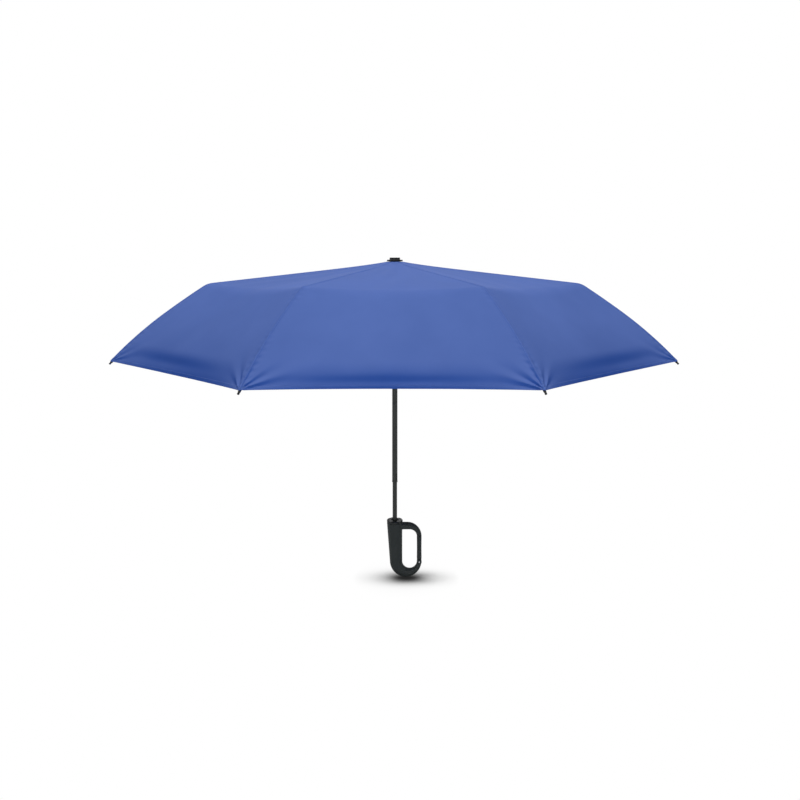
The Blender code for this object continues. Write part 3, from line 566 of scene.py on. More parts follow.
def block(size: Point, middle: Sequence[float]) -> bmesh.types.BMesh:
    """A box, as a shape to cut or join."""
    bm = bmesh.new()
    bmesh.ops.create_cube(bm, size=1.0, matrix=Matrix.Translation(middle) @ Matrix.Diagonal((*size, 1.0)))
    return bm


def joined(parts: Iterable[bmesh.types.BMesh]) -> bmesh.types.BMesh:
    """Gather shapes in one bmesh as they are."""
    whole = bmesh.new()
    for part in parts:
        mesh = meshed(part, "part")
        whole.from_mesh(mesh)
        bpy.data.meshes.remove(mesh)
    return whole


def baked(bm: bmesh.types.BMesh, modifiers: Callable[[bpy.types.Object], None]) -> bmesh.types.BMesh:
    """Run modifiers on a bmesh.

    Args:
        bm: The shape, which is freed.
        modifiers: What adds the modifiers to an object that holds it.

    Returns:
        The result.
    """
    bmesh.ops.recalc_face_normals(bm, faces=bm.faces)
    mesh = meshed(bm, "work")
    work = linked("work", mesh)
    modifiers(work)
    bpy.context.view_layer.update()
    evaluated = work.evaluated_get(bpy.context.evaluated_depsgraph_get())
    result = bmesh.new()
    result.from_mesh(evaluated.to_mesh())
    evaluated.to_mesh_clear()
    bpy.data.objects.remove(work)
    bpy.data.meshes.remove(mesh)
    return result


def boolean(
    bm: bmesh.types.BMesh, others: Sequence[bmesh.types.BMesh], joining: Joining
) -> bmesh.types.BMesh:
    """Join other shapes to one, or cut them from it.

    Args:
        bm: The shape, which is freed.
        others: The other shapes, which are freed too.
        joining: How they act on it.

    Returns:
        The result.
    """
    helpers = []
    for other in others:
        bmesh.ops.recalc_face_normals(other, faces=other.faces)
        helpers.append(linked("helper", meshed(other, "helper")))

    def add(work: bpy.types.Object) -> None:
        """Add one boolean modifier for each helper."""
        for helper in helpers:
            modifier = work.modifiers.new("cut", "BOOLEAN")
            modifier.operation = joining.value
            modifier.object = helper
            modifier.solver = "EXACT"

    result = baked(bm, add)
    for helper in helpers:
        data = helper.data
        bpy.data.objects.remove(helper)
        bpy.data.meshes.remove(data)
    return result


def melted(bm: bmesh.types.BMesh, voxel: float, rounds: int) -> bmesh.types.BMesh:
    """Melt a joined shape into one skin with soft inner corners, as a moulding has.

    Args:
        bm: The shape, which is freed.
        voxel: The fineness of the skin.
        rounds: How many times it is smoothed.

    Returns:
        The skin.
    """

    def add(work: bpy.types.Object) -> None:
        """Add the remesh and the smoothing."""
        remesh = work.modifiers.new("melt", "REMESH")
        remesh.mode = "VOXEL"
        remesh.voxel_size = voxel
        smooth = work.modifiers.new("ease", "SMOOTH")
        smooth.factor = 0.5
        smooth.iterations = rounds

    return baked(bm, add)


def soften(work: bpy.types.Object, width: float, angle: float) -> None:
    """Round the edges of a piece that are sharper than an angle in degrees."""
    bevel = work.modifiers.new("soft edges", "BEVEL")
    bevel.width = width
    bevel.segments = 2
    bevel.limit_method = "ANGLE"
    bevel.angle_limit = math.radians(angle)


def rib_turn(n: int) -> float:
    """The direction of rib n, from 1 to 8, round the shaft."""
    return math.tau * (n - 0.5) / RIB_COUNT


def rib_matrix(n: int) -> Matrix:
    """Turns a place in rib n's upright plane, given as (radius, side, height), into the frame."""
    return Matrix.Rotation(rib_turn(n), 4, "Z")


# The canopy


@dataclass(frozen=True)
class RibLine:
    """The ribs' centre lines in their upright plane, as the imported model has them."""

    slope: float = math.radians(5.47)
    top_length: float = 0.170
    middle_length: float = 0.1596
    chord: float = 0.1909
    chord_slope: float = math.radians(38.2)
    arc_turn: float = math.radians(18.0)
    notch_radius: float = 0.009
    notch_height: float = 0.525234
    fold_rise: float = 0.00175
    outer_drop: float = 0.0029
    stretcher_place: float = 0.088
    stretcher_drop: float = 0.0008
    wire_heel: float = 0.0046
    wire_heel_drop: float = 0.0006

    @property
    def straight(self) -> float:
        """Length from the notch to the second fold."""
        return self.top_length + self.middle_length

    @property
    def arc_radius(self) -> float:
        """Radius of the outer rib's curve."""
        return self.chord / (2 * math.sin(self.arc_turn / 2))

    @property
    def arc_length(self) -> float:
        """Length of the outer rib's curve."""
        return self.arc_radius * self.arc_turn

    def on_top_rib(self, along: float, rise: float) -> tuple[float, float]:
        """A place on the straight ribs, as (radius, height).

        Args:
            along: How far from the notch's pivot.
            rise: How far outside the ribs' centre line.

        Returns:
            Its radius and height.
        """
        radius = self.notch_radius + along * math.cos(self.slope) + rise * math.sin(self.slope)
        height = self.notch_height - along * math.sin(self.slope) + rise * math.cos(self.slope)
        return radius, height

    def on_outer_rib(self, share: np.ndarray, lift: np.ndarray) -> tuple[np.ndarray, np.ndarray, np.ndarray]:
        """Places off the outer rib's curve.

        Args:
            share: How far along the curve, from 0 to 1.
            lift: How far outside its centre line.

        Returns:
            Radius, height, and the curve's slope below the horizon.
        """
        start = self.arc_turn / 2
        heading = start - self.arc_turn * share
        x = (math.sin(start) - np.sin(heading)) * self.arc_radius - np.sin(heading) * lift
        y = (np.cos(heading) - math.cos(start)) * self.arc_radius + np.cos(heading) * lift
        c, s = math.cos(-self.chord_slope), math.sin(-self.chord_slope)
        pivot_radius, pivot_height = self.on_top_rib(self.straight, -self.outer_drop)
        return pivot_radius + x * c - y * s, pivot_height + x * s + y * c, self.chord_slope - heading


@dataclass(frozen=True)
class Pleat:
    """One tension fold that runs out of a tip: its bearing from the hem in degrees, height and width."""

    bearing: float
    height_share: float
    width: float


def bump(value: np.ndarray, middle: float, width: float) -> np.ndarray:
    """A soft bump that is 1 at its middle."""
    return np.exp(-(((value - middle) / width) ** 2))


@dataclass(frozen=True)
class ClothRelief:
    """The small forms of the stretched cloth: folds at the tips, hem, puckered seams and faint waves.

    A pair of values is for the panels that lie on the diagonals, and for those in front, behind and beside.

    Attributes:
        fold_reach: Distance from the tip at which its folds are tallest.
        fold_height: How tall they are there.
        far_height: How tall their faint ends are.
        far_shares: Where those ends are tallest, and how fast they fade, as shares of the reach.
        bearing_spread: How far a fold's bearing may stray, in degrees.
        height_shares: The least and the most share of its height that a fold gets.
        pleat_shift: Degrees that turn a panel's folds away from the hem.
        side_calm: How much weaker the folds are at the ribs that point to the sides.
        seam_edge: Distance from the seam within which the folds die out.
        pucker: Height, waves in radians per metre, place and width of the pucker beside a seam.
        valley: Depth, place and width of the hollow beside a seam.
        free_width: Panel widths between which pucker and hollow come up.
        roll_height: Distance of the roll over the hem from the hem.
        roll_width: Its width.
        roll_depth: Its depth.
        roll_lean: The power that makes it lean towards one rib.
        flare: How far the hem's edge stands out.
        flare_reach: How far up from the hem that goes.
        hem: Height of the hem's step, its width, and how soft the step is.
        stitch_line: Depth, place and width of the hollow that the hem's stitches pull.
        ripple_height: Height of the faint waves.
        ripple_start: Distance from the notch at which they are whole.
        pleats: The folds at one side of a tip.
    """

    fold_reach: float = 0.0115
    fold_height: float = 0.00125
    far_height: float = 0.0002
    far_shares: tuple[float, float] = (3.2, 1.6)
    bearing_spread: float = 2.0
    height_shares: tuple[float, float] = (0.75, 1.2)
    pleat_shift: tuple[float, float] = (8.0, 0.0)
    side_calm: float = 0.5
    seam_edge: float = 0.004
    pucker: tuple[float, float, float, float] = (0.00022, 560.0, 0.006, 0.004)
    valley: tuple[float, float, float] = (0.0003, 0.0062, 0.0026)
    free_width: tuple[float, float] = (0.02, 0.10)
    roll_height: tuple[float, float] = (0.0185, 0.0125)
    roll_width: tuple[float, float] = (0.0118, 0.0065)
    roll_depth: tuple[float, float] = (0.0023, 0.00080)
    roll_lean: float = 1.5
    flare: tuple[float, float] = (0.0, 0.0006)
    flare_reach: float = 0.006
    hem: tuple[float, float, float] = (0.00022, 0.0068, 0.0004)
    stitch_line: tuple[float, float, float] = (0.00018, 0.0061, 0.0006)
    ripple_height: float = 0.00028
    ripple_start: float = 0.12
    pleats: tuple[Pleat, ...] = (
        Pleat(12.0, -0.5, 7.0),
        Pleat(27.0, 1.2, 8.0),
        Pleat(44.0, -0.8, 8.0),
        Pleat(61.0, 0.5, 7.0),
        Pleat(80.0, -1.0, 6.0),
    )

    def tip_folds(self, across: np.ndarray, height: np.ndarray, panel: int, side: int) -> np.ndarray:
        """How far the folds of one tip lift a panel.

        Args:
            across: Distance from the tip's rib.
            height: Distance from the hem.
            panel: The panel's number, from 0.
            side: 0 for the tip at its start, and 1 for the one at its end.

        Returns:
            The lift.
        """
        rib = (panel + side) % RIB_COUNT
        dice = np.random.default_rng(SEED + 2 * rib + side)
        bearing = np.degrees(np.arctan2(height, np.maximum(across, 1e-6)))
        reach = np.hypot(across, height) / self.fold_reach
        peak, fade = self.far_shares
        near = self.fold_height * reach * np.exp(1 - reach)
        far = self.far_height * (reach / peak) ** 2 * np.exp(2 - reach / fade)
        fold = np.zeros_like(across)
        for pleat in self.pleats:
            stray = dice.uniform(-self.bearing_spread, self.bearing_spread)
            tall = pleat.height_share * dice.uniform(*self.height_shares)
            fold += tall * bump(bearing, pleat.bearing + self.pleat_shift[panel % 2] + stray, pleat.width)
        calm = 1 - self.side_calm * math.cos(rib_turn(rib + 1)) ** 2
        return calm * (near + far) * fold * np.clip(across / self.seam_edge, 0.0, 1.0)

    def seam_pucker(self, along: np.ndarray, across: np.ndarray, width: np.ndarray, rib: int) -> np.ndarray:
        """How far a seam's pucker and the hollow beside it lift a panel.

        Args:
            along: Distance from the notch.
            across: Distance from the seam.
            width: The panel's width there.
            rib: The seam's rib, from 0.

        Returns:
            The lift.
        """
        tall, waves, place, spread = self.pucker
        pucker = tall * np.sin(along * waves + rib) * bump(across, place, spread)
        deep, low, narrow = self.valley
        least, most = self.free_width
        room = np.clip((width - least) / (most - least), 0.0, 1.0)
        return (pucker - deep * bump(across, low, narrow)) * room

    def hem_line(self, height: np.ndarray, share: np.ndarray, panel: int) -> np.ndarray:
        """How far the roll over the hem, the hem's step and its stitches lift a panel.

        Args:
            height: Distance from the hem.
            share: How far across the panel, from 0 to 1.
            panel: The panel's number, from 0.

        Returns:
            The lift.
        """
        kind = panel % 2
        middle_share = np.sin(math.pi * share)
        toward = share if panel // 2 % 2 else 1 - share
        leaning = middle_share if kind else np.sin(math.pi * toward**self.roll_lean)
        away = bump(height, self.roll_height[kind], self.roll_width[kind])
        roll = -self.roll_depth[kind] * np.maximum(leaning, 0.0) ** 1.3 * away
        flare = self.flare[kind] * middle_share * bump(height, 0.0, self.flare_reach)
        step, wide, soft = self.hem
        hem = step / (1 + np.exp(np.clip((height - wide) / soft, -40.0, 40.0)))
        deep, place, narrow = self.stitch_line
        return roll + flare + hem - deep * bump(height, place, narrow)

    def ripple(self, along: np.ndarray, share: np.ndarray, panel: int) -> np.ndarray:
        """Long, faint waves that stretched cloth keeps.

        Args:
            along: Distance from the notch.
            share: How far across the panel, from 0 to 1.
            panel: The panel's number, from 0.

        Returns:
            The lift.
        """
        dice = np.random.default_rng(SEED + 50 + panel)
        fade = np.sin(math.pi * share) ** 2 * np.clip(along / self.ripple_start, 0.0, 1.0)
        wave = np.zeros_like(along)
        for _ in range(4):
            across, down = dice.uniform(4.0, 9.0), dice.uniform(4.0, 11.0)
            wave += np.sin(across * share * math.pi + down * along * math.pi + dice.uniform(0, math.tau))
        return self.ripple_height * wave * fade


@dataclass(frozen=True)
class CanopyForm:
    """The open canopy's outside surface.

    Attributes:
        line: The ribs under it.
        relief: Its small forms.
        hub_lift: How far the cloth lies outside the ribs' line at the hub.
        roof_lift: The same on the roof.
        bend_lift: The same at the second fold.
        tip_lift: The same at the tips.
        bend_sag: How far a panel's middle sags at the bend.
        hem_pull: How far a panel's middle is pulled inward at the hem.
        skirt_belly: How far it is drawn in half way down the skirt.
        tuck_length: How far up from the hem the cloth tucks in.
        tuck_pull: How far it tucks inward at the hem.
        tuck_drop: How far it sags more there.
        hang: How far a panel's hem hangs, on the diagonals and elsewhere.
        hang_reach: How far up from the hem that goes.
        bend_spread: How wide the bend is rounded over a rib, and how much wider between two.
        start: Where the cloth starts at the hub, along a rib.
        hub: Where the hub's own pieces end.
        corner_radius: The tips' distance from the shaft.
        thickness: The cloth's thickness, with its coating.
    """

    line: RibLine = field(default_factory=RibLine)
    relief: ClothRelief = field(default_factory=ClothRelief)
    hub_lift: float = 0.0094
    roof_lift: float = 0.0064
    bend_lift: float = 0.0028
    tip_lift: float = 0.0026
    bend_sag: float = 0.0077
    hem_pull: float = 0.0142
    skirt_belly: float = 0.0005
    tuck_length: float = 0.044
    tuck_pull: float = 0.0095
    tuck_drop: float = 0.0024
    hang: tuple[float, float] = (0.0045, 0.0)
    hang_reach: float = 0.10
    bend_spread: tuple[float, float] = (0.0035, 0.0085)
    start: float = -0.0012
    hub: float = 0.018
    corner_radius: float = 0.491
    thickness: float = 0.00045

    @property
    def total(self) -> float:
        """Length of the cloth over a rib, from the notch's pivot to the hem."""
        return self.line.straight + self.line.arc_length

    @property
    def row_stops(self) -> Profile:
        """Places along a rib and the spacing of the rows after each."""
        top, bend, end = self.line.top_length, self.line.straight, self.total
        near_top, near_bend = 0.012, 0.036
        return (
            (self.start, 0.0032), (self.hub, 0.006), (0.03, 0.012), (top - near_top, 0.006), (top, 0.006),
            (top + near_top, 0.011), (bend - near_bend, 0.003), (bend, 0.0014), (bend + near_bend, 0.006),
            (end - 0.09, 0.0026), (end - 0.05, 0.0016), (end - 0.012, 0.0012), (end - 0.0064, 0.0006),
            (end - 0.005, 0.0016), (end, 0.0),
        )

    @property
    def hem_width(self) -> float:
        """A panel's width at the hem."""
        return 2 * self.corner_radius * math.sin(math.pi / RIB_COUNT)

    @property
    def column_stops(self) -> Profile:
        """Distances from a rib at the hem, up to a panel's middle, and the columns' spacing after each."""
        return (0.0, 0.0011), (0.032, 0.0016), (0.062, 0.004), (0.11, 0.012), (self.hem_width / 2, 0.0)

    def rib_places(self, along: np.ndarray) -> tuple[np.ndarray, np.ndarray, np.ndarray, np.ndarray]:
        """The surface over a rib.

        Args:
            along: Distances from the notch's pivot.

        Returns:
            Radius, height, and the pull inward and the sag of the middle between two ribs.
        """
        line = self.line
        share = np.clip(along / line.straight, 0.0, 1.0)
        lift = self.roof_lift + (self.bend_lift - self.roof_lift) * share
        lift = lift + (self.hub_lift - self.roof_lift) * (1 - share) ** 8
        reach = share * line.straight
        radius = line.notch_radius + reach * math.cos(line.slope) + lift * math.sin(line.slope)
        height = line.notch_height - reach * math.sin(line.slope) + lift * math.cos(line.slope)
        radius = radius + np.minimum(along, 0.0)
        outer = np.clip((along - line.straight) / line.arc_length, 0.0, 1.0)
        skirt_lift = self.tip_lift + self.bend_lift * np.clip(1 - outer / 0.4, 0.0, 1.0) ** 2
        skirt_radius, skirt_height, _ = line.on_outer_rib(outer, skirt_lift)
        belly = self.skirt_belly * 4 * outer * (1 - outer)
        tuck = np.clip(1 - (self.total - along) / self.tuck_length, 0.0, 1.0) ** 2
        skirt = along > line.straight
        pull = np.where(skirt, self.hem_pull * outer + belly + self.tuck_pull * tuck, 0.0)
        skirt_sag = self.bend_sag * (1 - outer) + belly + self.tuck_drop * tuck
        sag = np.where(skirt, skirt_sag, self.bend_sag * share**1.5)
        return np.where(skirt, skirt_radius, radius), np.where(skirt, skirt_height, height), pull, sag

    def base(self, along: np.ndarray, share: np.ndarray) -> np.ndarray:
        """Places on the plain surface of the panel that is centred on +X.

        Args:
            along: Distances from the notch's pivot.
            share: How far from one rib to the next, from 0 to 1.

        Returns:
            The places.
        """
        radius, height, pull, sag = self.rib_places(along)
        half = math.pi / RIB_COUNT
        bow = 4 * share * (1 - share)
        x = radius * math.cos(half) - pull * bow
        y = radius * math.sin(half) * (2 * share - 1)
        return np.stack([x, y, height - sag * bow], axis=-1)

    def eased(self, along: np.ndarray, share: np.ndarray) -> np.ndarray:
        """The plain surface with the bend rounded, gently over the ribs and more between them.

        Args:
            along: Distances from the notch's pivot.
            share: How far from one rib to the next, from 0 to 1.

        Returns:
            The places.
        """
        least, more = self.bend_spread
        spread = least + more * np.sin(math.pi * share) ** 1.5
        near = np.exp(-(((along - self.line.straight) / (3.2 * spread)) ** 2)) * spread
        total = np.zeros(along.shape + (3,))
        weights = 0.0
        for step in np.linspace(-2.0, 2.0, 9):
            weight = math.exp(-step * step / 2)
            moved = np.clip(along + step * near, self.start, self.total)
            total += weight * self.base(moved, share)
            weights += weight
        return total / weights

    def small_lift(self, along: np.ndarray, share: np.ndarray, panel: int) -> np.ndarray:
        """How far the small forms lift one panel.

        Args:
            along: Distances from the notch's pivot.
            share: How far across the panel, from 0 to 1.
            panel: The panel's number, from 0.

        Returns:
            The lift along the surface's normal.
        """
        width = 2 * self.rib_places(along)[0] * math.sin(math.pi / RIB_COUNT)
        height = np.maximum(self.total - along, 0.0)
        lift = self.relief.hem_line(height, share, panel) + self.relief.ripple(along, share, panel)
        for side in (0, 1):
            across = (1 - share if side else share) * width
            lift += self.relief.tip_folds(across, height, panel, side)
            lift += self.relief.seam_pucker(along, across, width, (panel + side) % RIB_COUNT)
        return lift


def normals_of(places: np.ndarray, wrap: bool) -> np.ndarray:
    """Outward normals of a grid of places.

    Args:
        places: The grid, by row and column.
        wrap: Whether the last column is followed by the first.

    Returns:
        The normals.
    """
    down = np.gradient(places, axis=0)
    if wrap:
        across = np.roll(places, -1, axis=1) - np.roll(places, 1, axis=1)
    else:
        across = np.gradient(places, axis=1)
    normal = np.cross(down, across)
    return normal / np.maximum(np.linalg.norm(normal, axis=-1, keepdims=True), 1e-12)


def spaced(stops: Profile, loose: float) -> np.ndarray:
    """Values from the first stop to the last, at about the spacing that each stop asks for after it.

    Args:
        stops: Values and spacings.
        loose: What the spacings are multiplied by.

    Returns:
        The values.
    """
    values: list[float] = []
    for (here, step), (there, _) in zip(stops, stops[1:]):
        count = max(1, round((there - here) / (step * loose)))
        values.extend(np.linspace(here, there, count, endpoint=False))
    return np.array([*values, stops[-1][0]])


@dataclass
class CanopyGrid:
    """The canopy sampled over all its panels: rows run from the hub to the hem, columns round the shaft."""

    form: CanopyForm
    rows: np.ndarray
    shares: np.ndarray
    places: np.ndarray
    normals: np.ndarray

    @classmethod
    def sampled(cls, form: CanopyForm, coarse: bool) -> "CanopyGrid":
        """Sample the form, closely where it folds.

        Args:
            form: The canopy's form.

        Returns:
            The grid.
        """
        loose = 2.0 if coarse else 1.0
        rows = spaced(form.row_stops, loose)
        half = spaced(form.column_stops, loose) / form.hem_width
        shares = np.concatenate([half, 1 - half[-2:0:-1]])
        along, share = np.meshgrid(rows, shares, indexing="ij")
        low = np.clip(1 - (form.total - along) / form.hang_reach, 0.0, 1.0) ** 2
        panels = []
        for panel in range(RIB_COUNT):
            plain = form.eased(along, share)
            plain[..., 2] -= form.hang[panel % 2] * low * 4 * share * (1 - share)
            lifted = plain + normals_of(plain, wrap=False) * form.small_lift(along, share, panel)[..., None]
            spin = Matrix.Rotation(rib_turn(panel + 1) + math.pi / RIB_COUNT, 3, "Z")
            panels.append(lifted @ np.array(spin).T)
        places = np.concatenate(panels, axis=1)
        return cls(form, rows, shares, places, normals_of(places, wrap=True))

    def rib_column(self, rib: int) -> int:
        """The column that runs along a rib."""
        return (rib - 1) * len(self.shares)

    def columns_of(self, rib: int) -> np.ndarray:
        """The columns of a rib's own strip: half a panel on each side."""
        half = int(np.argmin(np.abs(self.shares - 0.5)))
        start = self.rib_column(rib)
        return np.arange(start - len(self.shares) + half, start + half + 1) % self.places.shape[1]

    def row_at(self, along: float) -> int:
        """The row nearest to a distance from the notch."""
        return int(np.argmin(np.abs(self.rows - along)))

    def on_rib(self, rib: int, along: float, across: float = 0.0) -> tuple[Vector, Vector]:
        """A place on the cloth beside a rib and the normal there.

        Args:
            rib: The rib's number.
            along: Distance from the notch.
            across: Distance from the rib's own line.

        Returns:
            The place and the normal.
        """
        column = self.rib_column(rib)
        row = float(np.interp(along, self.rows, np.arange(len(self.rows))))
        low = min(int(row), len(self.rows) - 2)
        share = row - low

        def between(grid: np.ndarray, at: int) -> np.ndarray:
            """The value between two rows of one column."""
            return grid[low, at] * (1 - share) + grid[low + 1, at] * share

        here, normal = between(self.places, column), between(self.normals, column)
        if across:
            there = between(self.places, (column + (2 if across > 0 else -2)) % self.places.shape[1])
            here = here + (there - here) / float(np.linalg.norm(there - here)) * abs(across)
        return Vector(here), Vector(normal).normalized()


@dataclass(frozen=True)
class Zone:
    """One length of every strip of cloth, carried by one rib body.

    Attributes:
        name: What its pieces are called.
        body: The rib body that carries it.
        start: Where it starts, along the rib.
        end: Where it ends.
        keep: The share of its width that is left when the umbrella is closed; not used.
        tilt: The extra turn, in radians, of a half's axis.
        halved: Whether the left and the right half are separate pieces.
        held: The body that holds its inner end, or None; where it is given, the zone's pieces stay in place
            on no body.
    """

    name: str
    body: str
    start: float
    end: float
    keep: float = 0.05
    tilt: float = 0.0
    halved: bool = False
    held: str | None = None


@dataclass(frozen=True)
class Patch:
    """The cells of a rib's strip that move as one piece.

    Attributes:
        zone: The zone that it is a part of.
        part: What part of the zone it is.
        rib: The rib's number.
        rows: The rows of the grid that it lies in.
        columns: The columns of the grid.
        cells: Which cells between those rows and columns belong to it.
        axis: The direction in which it gathers, in the rib's upright plane; not used.
        anchor: The place towards which it gathers, in that plane too; not used.
    """

    zone: Zone
    part: str
    rib: int
    rows: np.ndarray
    columns: np.ndarray
    cells: np.ndarray
    axis: Sequence[float]
    anchor: Sequence[float]

    @property
    def name(self) -> str:
        """What its piece is called."""
        return f"{self.zone.name}_{self.part}_{self.rib}"

    @property
    def body(self) -> str:
        """The body that carries it."""
        return f"{self.zone.body}_{self.rib}"

    def of(self, grid: np.ndarray) -> np.ndarray:
        """The part of a grid's values that lies in its rows and columns."""
        return grid[np.ix_(self.rows, self.columns)]


@dataclass(frozen=True)
class SeamForm:
    """Sizes of the felled seams over the ribs, of the hem's stitches, and of the thread.

    Attributes:
        profile: A seam's section, as shares of its half width and of its height.
        half_width: Half its width.
        height: Its height.
        narrowing: The share of its width that it has at the hub, and where it has its whole width.
        ring_step: Distance between two of its sections, in a full and in a quick scene.
        pitch: Distance between two of its stitches.
        hem_pitch: The same on the hem, in a full and in a quick scene.
        stitch_share: How much of its pitch a stitch takes up.
        row_share: Where a row of stitches lies, as a share of the half width.
        stitch_path: A stitch's course, as shares of its length and of its lift.
        thread_radius: The thread's radius.
        thread_sides: How many sides it has.
        lift: How high a seam's stitches stand.
        hem_lift: The same on the hem.
        hem_row: Distance of the hem's stitches from its edge.
        fold_reach: How far before and after a fold the seam's bend is measured; the places found aren't
            used.
        hub_start: Where the seam starts, along a rib.
        hem_gap: How far from the hem it ends.
        flat_end: How far before the second fold its flat length ends.
        flat_drop: How far under the cloth its flat length would gather; the place found isn't used.
        flat_keep: The share of its height that is left there when the umbrella is closed; not used.
    """

    profile: Profile = (
        (-1.0, -0.10), (-0.93, 0.16), (-0.55, 0.20), (-0.12, 0.34), (0.12, 0.34), (0.55, 0.20), (0.93, 0.16),
        (1.0, -0.10),
    )
    half_width: float = 0.0026
    height: float = 0.001
    narrowing: tuple[float, float] = (0.25, 0.05)
    ring_step: tuple[float, float] = (0.0035, 0.008)
    pitch: float = 0.0032
    hem_pitch: tuple[float, float] = (0.0033, 0.012)
    stitch_share: float = 0.72
    row_share: float = 0.72
    stitch_path: Profile = ((0.0, -0.8), (0.18, 0.8), (0.5, 1.15), (0.82, 0.8), (1.0, -0.8))
    thread_radius: float = 0.00016
    thread_sides: int = 5
    lift: float = 0.00026
    hem_lift: float = 0.00022
    hem_row: float = 0.0058
    fold_reach: float = 0.009
    hub_start: float = 0.005
    hem_gap: float = 0.0015
    flat_end: float = 0.012
    flat_drop: float = 0.0013
    flat_keep: float = 0.05

    def half_at(self, along: float) -> float:
        """Half the seam's width at a distance from the notch."""
        share, whole = self.narrowing
        return self.half_width * min(1.0, share + along / whole)

    def add_stitch(self, bm: bmesh.types.BMesh, start: Vector, end: Vector, up: Vector) -> None:
        """Add a short thread that dips into the cloth at both ends.

        Args:
            bm: The bmesh that it is added to.
            start: Where it comes out of the cloth.
            end: Where it goes in.
            up: The cloth's normal, as long as the stitch stands high.
        """
        path = [start + (end - start) * share + up * rise for share, rise in self.stitch_path]
        add_wire(bm, path, self.thread_radius, self.thread_sides, closed=False, material=1)


@dataclass
class Canopy:
    """The cloth: patches for each rib, seam bands, hem and stitches."""

    form: CanopyForm = field(default_factory=CanopyForm)
    seam: SeamForm = field(default_factory=SeamForm)
    joint: str = "runner_slide"
    cut_edge: float = 0.002
    roof_keep: float = 0.06
    skirt_tilt: float = math.radians(6.0)

    def __post_init__(self) -> None:
        """Sample the form and divide it into zones."""
        form, line = self.form, self.form.line
        self.grid = CanopyGrid.sampled(form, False)
        self.zones = (
            Zone("hub", "top_rib", form.start, form.hub, keep=1.0, held="top_tube"),
            Zone("roof", "top_rib", form.hub, line.top_length, keep=self.roof_keep),
            Zone("shoulder", "middle_rib", line.top_length, line.straight, halved=True),
            Zone("skirt", "outer_rib", line.straight, form.total, tilt=self.skirt_tilt, halved=True),
        )

    def build(self) -> None:
        """Make every piece of the cloth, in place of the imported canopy."""
        for rib in RIBS:
            bands = self.seam_bands(rib)
            for zone in self.zones:
                for patch in self.patches(rib, zone):
                    self.cloth(patch)
                    extra = bands if zone.name == "roof" else []
                    if patch.name.startswith("skirt_cloth"):
                        extra = [self.hem_stitches(patch)]
                    self.declare(patch)
        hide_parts("canopy")

    def patches(self, rib: int, zone: Zone) -> list[Patch]:
        """Cut one zone of a rib's strip into pieces.

        The part that lies past the fold's own plane is a gusset, a patch of its own.

        Args:
            rib: The rib's number.
            zone: The zone.

        Returns:
            The zone's patches.
        """
        grid = self.grid
        columns = grid.columns_of(rib)
        rows = np.arange(grid.row_at(zone.start), grid.row_at(zone.end) + 1)
        places = grid.places[np.ix_(rows, columns)] @ np.array(rib_matrix(rib).to_3x3())
        middle = int(np.nonzero(columns == grid.rib_column(rib))[0][0])
        origin, tip = places[0, middle], places[-1, middle]
        centres = (places[:-1, :-1] + places[1:, :-1] + places[:-1, 1:] + places[1:, 1:]) / 4
        if not zone.halved:
            whole = np.ones(centres.shape[:2], dtype=bool)
            return [Patch(zone, "cloth", rib, rows, columns, whole, (0, 1, 0), origin)]
        heading = (tip - origin) / np.linalg.norm(tip - origin)
        outward = np.array([-heading[2], 0.0, heading[0]])
        anchor = origin + outward * float(((places[:, middle] - origin) @ outward).mean())
        behind = (centres - origin) @ heading < 0.0
        found = []
        for side, sign in (("left", 1.0), ("right", -1.0)):
            half = centres[..., 1] * sign > 0
            reach = places[:, 0 if places[-1, 0, 1] * sign > 0 else -1] - origin
            ahead = reach @ heading >= 0.0
            fall = float((reach[ahead] @ outward).mean())
            across = float(np.abs(reach[ahead, 1]).mean())
            angle = math.atan2(-fall, across) + zone.tilt
            axis = -math.sin(angle) * outward + np.array([0.0, sign * math.cos(angle), 0.0])
            found.append(Patch(zone, f"cloth_{side}", rib, rows, columns, half & ~behind, axis, anchor))
            found.append(Patch(zone, f"gusset_{side}", rib, rows, columns, half & behind, reach[0], origin))
        return found

    def follow(self, piece: bpy.types.Object, patch: Patch) -> None:
        """Attach a piece to its patch's body, or, where the zone is held, leave it in place on no body.

        Args:
            piece: The piece.
            patch: The patch that it is, or lies on.
        """
        zone = patch.zone
        if zone.held is None:
            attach(piece, patch.body)
            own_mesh(piece)
        else:
            start, end = (tuple(self.grid.on_rib(patch.rib, along)[0]) for along in (0.0, self.form.hub))
            patch.body
            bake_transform(piece)

    def cloth(self, patch: Patch) -> bpy.types.Object:
        """The cloth of one patch, with its two faces and its cut edge.

        Args:
            patch: The patch.

        Returns:
            The piece.
        """
        outside, normals = patch.of(self.grid.places), patch.of(self.grid.normals)
        skins = (outside, outside - normals * self.form.thickness)
        steps = np.linalg.norm(np.diff(outside[-1], axis=0), axis=-1)
        across = np.concatenate([[0.0], np.cumsum(steps)]) - steps.sum() / 2
        spans = np.linalg.norm(outside[:, -1] - outside[:, 0], axis=-1)
        spans /= spans[-1]
        bm = bmesh.new()
        layer = bm.loops.layers.uv.new("cloth")
        verts: dict[tuple[int, int, int], bmesh.types.BMVert] = {}

        def face(corners: Sequence[tuple[int, int, int]], material: int, smooth: bool) -> None:
            """Add a face between corners that are given as (skin, row, column)."""
            for key in corners:
                if key not in verts:
                    verts[key] = bm.verts.new(skins[key[0]][key[1:]])
            made = bm.faces.new([verts[key] for key in corners])
            made.smooth = smooth
            made.material_index = material
            for loop, (_, i, j) in zip(made.loops, corners):
                loop[layer].uv = (across[j] * spans[i], float(self.grid.rows[patch.rows[i]]))

